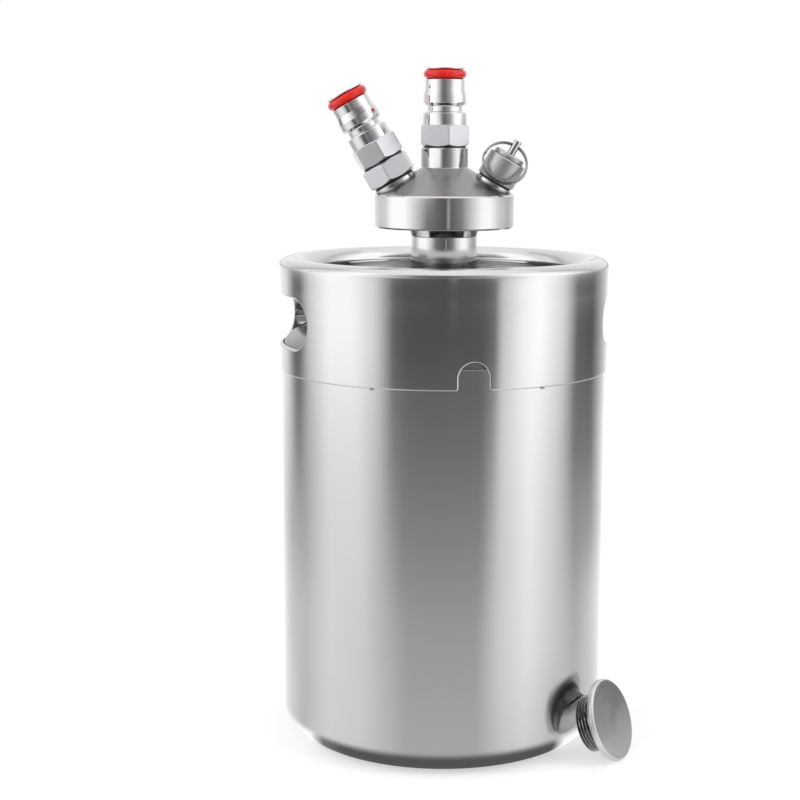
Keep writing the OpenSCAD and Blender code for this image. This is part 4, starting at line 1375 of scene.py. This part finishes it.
class KEG_OT_relief(bpy.types.Operator):
    """Make the relief valve: cup, bonnet, pulled stem, pad, spring and seal"""

    bl_idname = "keg.relief"
    bl_label = "Relief valve"

    def execute(self, context):
        at = ON_RELIEF_PORT
        top, floor, seat_z, seat_r, bore_r = 14.5, 5.0, -6.4, 2.5, 4.6
        shank_r, inner_r, low = 6.0, RELIEF_R - 1.3, RELIEF_SEAL_T
        cup = [
            (seat_r, -8, 0.1), (shank_r - 0.4, -8, 0.2), (shank_r, -7.6, 0.2), (shank_r, low, 0.1),
            (RELIEF_R - 0.5, low, 0.2), (RELIEF_R, low + 0.5, 0.2),
            (RELIEF_R, top - 0.5, 0.25), (RELIEF_R - 0.5, top, 0.25), (inner_r, top, 0.2),
            (inner_r, floor, 0.5), (bore_r, floor, 0.2), (bore_r, seat_z, 0.2),
            (seat_r, seat_z, 0.1),
        ]
        guide_r, lip_r, lip_z = 2.38, 8.5, 17.0
        bonnet = [
            (bore_r, floor + 0.05, 0.1), (5.8, floor + 0.05, 0.2), (lip_r, 15.0, 0.6),
            (lip_r, lip_z - 0.5, 0.25), (lip_r - 0.5, lip_z, 0.25), (2.9, lip_z, 0.2),
            (guide_r, lip_z - 0.5, 0.1), (guide_r, top, 0.1), (bore_r, top, 0.2),
        ]
        for name, node, corners, sides in (
            ("relief_housing", "relief_cup", cup, 144),
            ("flared_bonnet", "relief_bonnet", bonnet, 120),
        ):
            # The cup and bonnet wear steel painted darker, as the dark they mirror
            mesh = turned(name, eased(corners, 4), "relief_steel", sides, closed=True)
            piece(name, mesh, "head", [node], at)
        pad_low, pad_top, plate_r, stem_r, hole_r = -6.1, -5.0, 4.2, 2.3, 1.7
        plate_z, stem_z = pad_top + 0.05, 25.5
        stem = [
            (0, plate_z, 0), (plate_r, plate_z, 0.2), (plate_r, plate_z + 2, 0.2),
            (stem_r, plate_z + 2, 0.2), (stem_r, stem_z - 0.6, 0.25),
            (stem_r - 0.6, stem_z, 0.25), (0, stem_z, 0),
        ]
        drill = rod("drill", hole_r, -6, 6, "bright_turned", 32)
        drill.transform(place(("move", (0, 0, CROSS_HOLE_Z)), ("Y", math.pi / 2)))
        mesh = cut_out(turned("stem", eased(stem, 4), "bright_turned", 96), drill)
        piece("pulled_stem", mesh, "relief_stem", ["relief_stem"], at)
        pad = rod("pad", plate_r, pad_low, pad_top, "black_seal", 72, 0.2, 0.2)
        piece("stem_pad", pad, "relief_stem", ["relief_pad"], at)
        wire = {"mean_r": 3.7, "wire_r": 0.5, "curls": 7}
        ends = {"fixed": 14.2, "moved": plate_z + 2.05}
        add_spring("relief_coil", ["relief_spring"], "relief_pull", at, **ends, **wire)
        inner, outer = shank_r + 0.05, RELIEF_R - 1
        add_washer("relief_washer", ["relief_seal"], at, inner, outer, 0, RELIEF_SEAL_T)
        return {"FINISHED"}


class KEG_OT_pull_ring(bpy.types.Operator):
    """Make the split ring of two close turns of wire"""

    bl_idname = "keg.pull_ring"
    bl_label = "Pull ring"

    def execute(self, context):
        wire_r, mean_r, apart, pinch = 0.58, 11.9, 0.6, 0.35
        lean = math.radians(-31)
        line = []
        # Nearly two turns; the wire crosses from the first to the second near 360 degrees
        for degrees in np.arange(8.0, 700.0, 4.0):
            share = np.clip((degrees - 335.0) / 50.0, 0, 1)
            side = -1 + 2 * share * share * (3 - 2 * share)
            a = math.radians(degrees - 150.0)
            r = mean_r - 0.5 * (side + 1) * pinch * (1 - math.sin(a))
            line.append((r * math.cos(a), r * math.sin(a), side * apart))
        wire = {"Wire_radius": wire_r * MM, "Wire_sides": 16}
        # The wire wears steel painted darker, as the dark its edges mirror
        mesh = grown("split_ring", "Bent wire", line_mesh(line), "ring_wire", **wire)
        hang = place(("X", lean), ("move", (0, 0, -mean_r)), ("X", math.pi / 2))
        at = ON_RELIEF_PORT @ lifted(CROSS_HOLE_Z) @ hang
        piece("split_ring", mesh, "pull_ring", ["pull_ring"], at, crease=50)
        return {"FINISHED"}


class KEG_OT_tube(bpy.types.Operator):
    """Make the barbed liquid stem and the soft tube on it"""

    bl_idname = "keg.tube"
    bl_label = "Liquid tube"

    def execute(self, context):
        low, bore_r, pipe_r, barb_r, collar_r = CHAMBER_Z - 62, 2.0, 2.9, 3.5, 3.9
        outline = [(bore_r, low, 0.0)]
        for z in (low, low + 4, low + 8):
            outline += [(pipe_r, z, 0.0), (barb_r, z + 3.7, 0.0), (barb_r - 0.05, z + 4.0, 0.0)]
        foot = low + 12.0
        outline += eased([(pipe_r, foot, 0), (collar_r, foot, 0.3), (collar_r, CHAMBER_Z - 3, 0)])
        outline += [(6.0, CHAMBER_Z - 1, 0.0), (6.0, CHAMBER_Z + 8.6, 0.0)]
        outline += [(5.6, CHAMBER_Z + 9, 0.0), (bore_r, CHAMBER_Z + 9, 0.0)]
        pipe = turned("pipe", outline, "bright_turned", 96, closed=True)
        nut = hexagon("pipe_nut", 16.0, 4.0, 0.0, 0.12, low=CHAMBER_Z - 4)
        mesh = joined("barbed_stem", [pipe, nut])
        piece("barbed_stem", mesh, "head", ["liquid_stem"])
        bottom, top = reach("soft_tube", 2, high=False), reach("soft_tube", 2)
        outer, inner = 4.5, 3.0
        outline = [(outer - 0.2, bottom, 0.0)]
        outline += [(outer, z, 0.0) for z in np.linspace(bottom + 1, top - 1, 24)]
        outline += [(outer - 0.2, top, 0.0), (inner + 0.1, top, 0.0)]
        outline += [(inner, z, 0.0) for z in np.linspace(top - 1, bottom + 1, 8)]
        outline += [(inner + 0.1, bottom, 0.0)]
        tube = turned("dip_tube", outline, "clear_tube", 64, closed=True)
        piece("dip_tube", tube, "head", ["soft_tube"])
        return {"FINISHED"}


class KEG_OT_cap(bpy.types.Operator):
    """Make the screw cap that leans beside the keg"""

    bl_idname = "keg.cap"
    bl_label = "Cap"

    def execute(self, context):
        plug_low, thread_top = -CAP_DEPTH, -CAP_T - 3.0
        corners = [
            (0, 0, 0), (CAP_R * 0.3, 0, 0), (CAP_R * 0.6, 0, 0), (CAP_R - 1.1, 0, 0.25),
            (CAP_R - 0.25, -0.75, 0.8), (CAP_R, -CAP_T / 2, CAP_EDGE_R),
            (CAP_R - 0.4, -CAP_T + 0.5, 0.5), (CAP_R - CAP_EDGE_R, -CAP_T, 0.3),
            (GROOVE_R, -CAP_T, 0.2), (GROOVE_R, thread_top, 0.2),
            (SCREW_R, thread_top, 0),
        ]
        outline = eased(corners) + threaded(SCREW_R, plug_low + 0.5, thread_top)[::-1][1:]
        outline += [(SCREW_R - CHAMFER, plug_low, 0.0), (0, plug_low, 0.0)]
        depth = context.scene.keg_forms.thread_depth * 1.5
        mesh = turned("screw_cap", outline, "cap_steel", 256, 1.8, depth)
        dressed(mesh, "cap_face", -0.01, 0.01)
        # The screw wears steel painted darker, as shade in its thread and the dark it mirrors
        dressed(mesh, "cap_screw", plug_low - 1, -CAP_T - 0.05)
        stamp_outward(mesh, ON_CAP)
        piece("screw_cap", mesh, "cap", ["cap"], ON_CAP)
        seal_z = -CAP_T - SEAL_GAP - SEAL_SECTION / 2
        seal = torus("cap_seal_ring", SEAL_R, SEAL_SECTION, seal_z, "black_seal")
        piece("cap_seal_ring", seal, "cap", ["cap_seal"], ON_CAP)
        return {"FINISHED"}


# Stage


def linear(level):
    """Linear light for an 8-bit display level."""
    v = level / 255
    return v / 12.92 if v <= 0.04045 else ((v + 0.055) / 1.055) ** 2.4


# Soft boxes and dark gaps round the keg. Each ring gives how far out along the floor and up
# the tent's wall it lies, in metres, then its lights as pairs of a direction, in degrees from
# the front towards +X, and a display level; the light runs evenly from one pair to the next.
LIGHT_PLAN = (
    (0.086, [(-180, 160), (-130, 225), (-108, 240), (-92, 110), (-70, 80), (85, 80), (98, 240),
        (120, 245), (140, 160), (180, 160)]),
    (0.1, [(-180, 230), (-120, 180), (-90, 205), (-60, 200), (-25, 165), (25, 165), (45, 195),
        (62, 205), (90, 180), (120, 185), (145, 195), (180, 230)]),
    (0.31, [(-180, 235), (-140, 190), (-118, 185), (-90, 210), (-60, 200), (-25, 155), (25, 155),
        (42, 200), (66, 225), (115, 170), (180, 235)]),
    (0.57, [(-180, 235), (-140, 170), (-120, 160), (-90, 210), (-62, 210), (-30, 130), (28, 130),
        (42, 195), (66, 230), (90, 200), (112, 145), (135, 150), (180, 235)]),
    (0.97, [(-180, 235), (-145, 190), (-128, 120), (-92, 215), (-64, 215), (-46, 175), (-37, 120),
        (-24, 105), (28, 105), (36, 145), (43, 205), (66, 240), (92, 195), (109, 110), (134, 110),
        (155, 200), (180, 235)]),
    (1.13, [(-180, 240), (-146, 210), (-131, 90), (-122, 90), (-110, 195), (-89, 245), (-68, 245),
        (-50, 210), (-36, 85), (-26, 70), (28, 75), (37, 95), (42, 190), (58, 240), (72, 255),
        (94, 210), (109, 90), (130, 75), (162, 200), (180, 240)]),
    (1.24, [(-180, 220), (-140, 200), (-115, 205), (-98, 250), (-70, 250), (-28, 115), (0, 85),
        (3, 85), (7, 160), (11, 90), (28, 125), (66, 245), (82, 250), (100, 210), (130, 175),
        (180, 220)]),
    (1.3, [(-180, 190), (-126, 145), (-96, 250), (-28, 250), (-10, 110), (2, 90), (30, 130),
        (68, 245), (90, 180), (112, 130), (140, 130), (160, 150), (180, 190)]),
    (1.36, [(-180, 215), (-140, 205), (-122, 170), (-110, 220), (-100, 210), (-80, 250),
        (-62, 250), (-18, 110), (0, 95), (30, 145), (62, 250), (92, 250), (122, 180), (140, 205),
        (180, 215)]),
)


def tent_material(strength):
    """Glow of the reflection tent: soft boxes and dark gaps by direction and distance.

    The steel's walls stand out from the axis, so the direction in which each one mirrors a
    spot of the tent is bent by its radius: shell, then disc, then posts, in metres.
    """
    material, sheet = new_sheet("reflection_tent")
    x, y, z = sheet.split(sheet.add("ShaderNodeTexCoord", out=3))
    r = (x * x + y * y) ** 0.5
    way = r + z
    mirror_r = 0.088 - way.ramped(1.16, 1.2) * 0.051 - way.ramped(1.25, 1.29) * 0.025
    heading = sheet.maths("ARCTAN2", x, y * -1)
    seen = heading
    # The bend depends on the direction seen, so it is worked out twice
    for _ in range(2):
        aside = sheet.maths("SINE", seen * 0.5) * mirror_r
        bend = sheet.maths("ARCSINE", (aside / r.clamped(0.1, 2.0)).clamped(-0.9, 0.9))
        seen = heading + bend + aside * 1.1
    direction = (seen / (2 * math.pi) + 0.5).clamped()
    reached, glow = 0.0, None
    for far, lights in LIGHT_PLAN:
        stops = [((a + 180) / 360, (linear(level) / 0.64,) * 3) for a, level in lights]
        ring = sheet.add("ShaderNodeValToRGB", {"Fac": direction}, stops=stops)
        glow = sheet.mix(way.ramped(reached, far), glow, ring) if glow else ring
        reached = far
    glow = sheet.mix(z.ramped(1.5, 1.75), glow, (1.15, 1.15, 1.15, 1.0))
    lamp = sheet.add("ShaderNodeEmission", {"Color": glow, "Strength": strength})
    sheet.add("ShaderNodeOutputMaterial", {"Surface": lamp})
    return material


def floor_material(strength):
    """Pale matt floor that passes into the white of the room away from the keg. It glows with
    painted light: near the keg over half of its light is its own glow, which washes out the keg's
    shadows, and far away it is all glow.
    """
    material, sheet, shader = blank("pale_floor")
    spot = sheet.add("ShaderNodeTexCoord", out=3)
    tone = sheet.noise(spot, 3.0)
    looks = {
        "Base Color": sheet.mix(tone, (0.93, 0.93, 0.93, 1), (0.95, 0.95, 0.95, 1)),
        "Roughness": 0.8,
        "Specular IOR Level": 0.1,
    }
    sheet.fill(shader, looks)
    x, y, _ = sheet.split(spot)
    # Painted light: the floor's share of its own glow, 0.55 near the keg to lighten its shadows,
    # rising to 1 far away
    away = 0.55 + ((x * x + y * y) ** 0.5).ramped(0.5, 2.5) * 0.45
    painted_floor_glow = sheet.add("ShaderNodeEmission", {"Color": (1, 1, 1, 1), "Strength": strength})
    floor = Sock(sheet, shader.outputs[0])
    whole = sheet.add("ShaderNodeMixShader", {0: away, 1: floor, 2: painted_floor_glow})
    sheet.fill(material.node_tree.nodes["Material Output"], {"Surface": whole})
    return material


def lit_sheet(name, points, faces, material):
    """A piece of the stage, with points in metres."""
    mesh = bpy.data.meshes.new(name)
    mesh.from_pydata(points, [], faces)
    mesh.materials.append(material)
    return shown(name, mesh)


def add_tent(strength, sides=96):
    """Round tent that only the steel sees; its foot stands just below the floor."""
    outline = [(0, 0), (1.0, 0), (1.0, 1.6), (0.95, 1.85), (0.8, 2.1), (0.5, 2.3), (0, 2.4)]
    turns = [2 * math.pi * k / sides for k in range(sides)]
    points = [(r * math.cos(a), r * math.sin(a), z - 0.0003) for r, z in outline for a in turns]
    faces = list(quads(len(outline), sides))
    tent = lit_sheet("tent", points, faces, tent_material(strength))
    for ray in ("camera", "diffuse", "transmission", "volume_scatter", "shadow"):
        setattr(tent, f"visible_{ray}", False)
    return tent


def add_softbox(name, where, size, power):
    """A square soft box that points at the keg and isn't mirrored in it."""
    data = bpy.data.lights.new(name, "AREA")
    data.size, data.energy = size, power
    lamp = shown(name, data)
    aim = Vector((0, 0, 0.15)) - Vector(where)
    lamp.location, lamp.rotation_euler = where, aim.to_track_quat("-Z", "Y").to_euler()
    lamp.visible_glossy = lamp.visible_camera = False


class KEG_OT_stage(bpy.types.Operator):
    """Make the pale floor, the soft lights, the reflection tent and the camera"""

    bl_idname = "keg.stage"
    bl_label = "Stage"

    def execute(self, context):
        scene = context.scene
        stage = scene.keg_stage
        half = 150.0
        corners = [(-half, -half, 0), (half, -half, 0), (half, half, 0), (-half, half, 0)]
        floor = lit_sheet("floor", corners, [(0, 1, 2, 3)], floor_material(stage.world_strength))
        floor.visible_glossy = False
        tent = add_tent(stage.tent_strength)
        add_softbox("left_softbox", (-1.3, -0.9, 1.3), 1.0, stage.light_power)
        add_softbox("right_softbox", (1.4, -0.7, 1.2), 0.9, stage.light_power * 0.8)

        scene.world = bpy.data.worlds.new("studio")
        scene.world.use_nodes = True
        background = scene.world.node_tree.nodes["Background"].inputs
        background["Color"].default_value = (1, 1, 1, 1)
        background["Strength"].default_value = stage.world_strength
        scene.view_settings.view_transform = "Standard"

        lens = bpy.data.cameras.new("camera")
        lens.lens = stage.lens
        lens.shift_x, lens.shift_y = stage.shift
        lens.clip_start, lens.clip_end = 0.05, 400.0
        camera = shown("camera", lens)
        camera.location = stage.camera_place
        pitch = Matrix.Rotation(math.pi / 2 - stage.camera_pitch, 3, "X")
        roll = Matrix.Rotation(stage.camera_roll, 3, "Z")
        camera.rotation_euler = (pitch @ roll).to_euler()
        scene.camera = camera
        return {"FINISHED"}


# Settings


def number(name, description, default, **limits):
    """A number that a user may change."""
    return bpy.props.FloatProperty(name=name, description=description, default=default, **limits)


def numbers(name, description, default, **limits):
    """A colour, a place or another row of numbers."""
    return bpy.props.FloatVectorProperty(
        name=name, description=description, default=default, size=len(default), **limits
    )


def colour(name, description, default):
    return numbers(name, description, default, subtype="COLOR", min=0, max=1)


class KegFinish(bpy.types.PropertyGroup):
    """Colours and gloss of the keg's materials"""

    sheet_colour: colour("Sheet steel", "Colour of the shell and the collar", (0.66, 0.66, 0.665))
    turned_colour: colour("Turned steel", "Colour of the turned pieces", (0.70, 0.695, 0.70))
    post_colour: colour("Post steel", "Colour of the polished posts", (0.78, 0.775, 0.785))
    hexagon_colour: colour("Hexagon steel", "Colour of the satin hexagons", (0.66, 0.64, 0.67))
    # Painted shade: the relief valve's colour is set darker, as the dark it mirrors
    relief_colour: colour("Relief valve steel", "Colour of the relief valve", (0.50, 0.48, 0.50))
    ring_colour: colour("Post rings", "Colour of the rings on the posts", (0.56, 0.008, 0.004))
    seal_colour: colour("Seals", "Colour of the black seals", (0.015, 0.015, 0.016))
    sheet_roughness: number("Sheet roughness", "Roughness of the sheet", 0.16, min=0, max=1)
    sheet_stretch: number(
        "Sheet stretch", "How far its gloss is drawn out across its lines", 0.7, min=0, max=1
    )


class KegForms(bpy.types.PropertyGroup):
    """Small forms of the keg"""

    lip_fold: number(
        "Lip fold", "Bend radius of the hand holes' lips, in millimetres", 1.3, min=0.9, max=1.5
    )
    thread_depth: number(
        "Thread depth", "Depth of the screw threads, in millimetres", 1.0, min=0.4, max=1.2
    )
    weld_beads: bpy.props.IntProperty(
        name="Weld beads",
        description="Number of beads in the weld round the neck",
        default=84,
        min=30,
        max=160,
    )


class KegStage(bpy.types.PropertyGroup):
    """Lights and camera"""

    lens: number("Lens", "Focal length", 75.74, subtype="DISTANCE_CAMERA")
    camera_place: numbers(
        "Camera place", "Where the camera is", (0.0, -0.90535, 0.32796), subtype="TRANSLATION"
    )
    camera_pitch: number("Camera pitch", "How far it looks down", 0.1557, subtype="ANGLE")
    camera_roll: number("Camera roll", "Turn about its view", 0.006, subtype="ANGLE")
    shift: numbers("Shift", "Framing shift, as a share of the lens's width", (-0.054, -0.0083))
    light_power: number(
        "Soft box power", "Power of each soft box", 14.0, min=0, subtype="POWER", unit="POWER"
    )
    world_strength: number("Room light", "Strength of the light from all sides", 1.0, min=0)
    tent_strength: number("Reflections", "Strength of the light the steel mirrors", 1.0, min=0)


MAKERS = (
    KEG_OT_shell,
    KEG_OT_collar,
    KEG_OT_welds,
    KEG_OT_neck,
    KEG_OT_head,
    KEG_OT_posts,
    KEG_OT_valves,
    KEG_OT_side_nut,
    KEG_OT_relief,
    KEG_OT_pull_ring,
    KEG_OT_tube,
    KEG_OT_cap,
    KEG_OT_stage,
)
GROUPS = {"keg_finish": KegFinish, "keg_forms": KegForms, "keg_stage": KegStage}


class KEG_PT_panel(bpy.types.Panel):
    """Lists the keg's pieces and settings"""

    bl_idname = "KEG_PT_panel"
    bl_label = "Mini keg"
    bl_space_type = "VIEW_3D"
    bl_region_type = "UI"
    bl_category = "Mini keg"

    def draw(self, context):
        column = self.layout.column()
        for maker in MAKERS:
            column.operator(maker.bl_idname)
        for name in GROUPS:
            group = getattr(context.scene, name)
            box = self.layout.box()
            for setting in group.__annotations__:
                box.prop(group, setting)


def register():
    for name, group in GROUPS.items():
        bpy.utils.register_class(group)
        setattr(bpy.types.Scene, name, bpy.props.PointerProperty(type=group))
    for maker in (*MAKERS, KEG_PT_panel):
        bpy.utils.register_class(maker)


def unregister():
    for maker in reversed((*MAKERS, KEG_PT_panel)):
        bpy.utils.unregister_class(maker)
    for name, group in GROUPS.items():
        delattr(bpy.types.Scene, name)
        bpy.utils.unregister_class(group)


def main():
    register()
    for maker in MAKERS:
        group, action = maker.bl_idname.split(".")
        getattr(getattr(bpy.ops, group), action)()


if __name__ == "__main__":
    main()
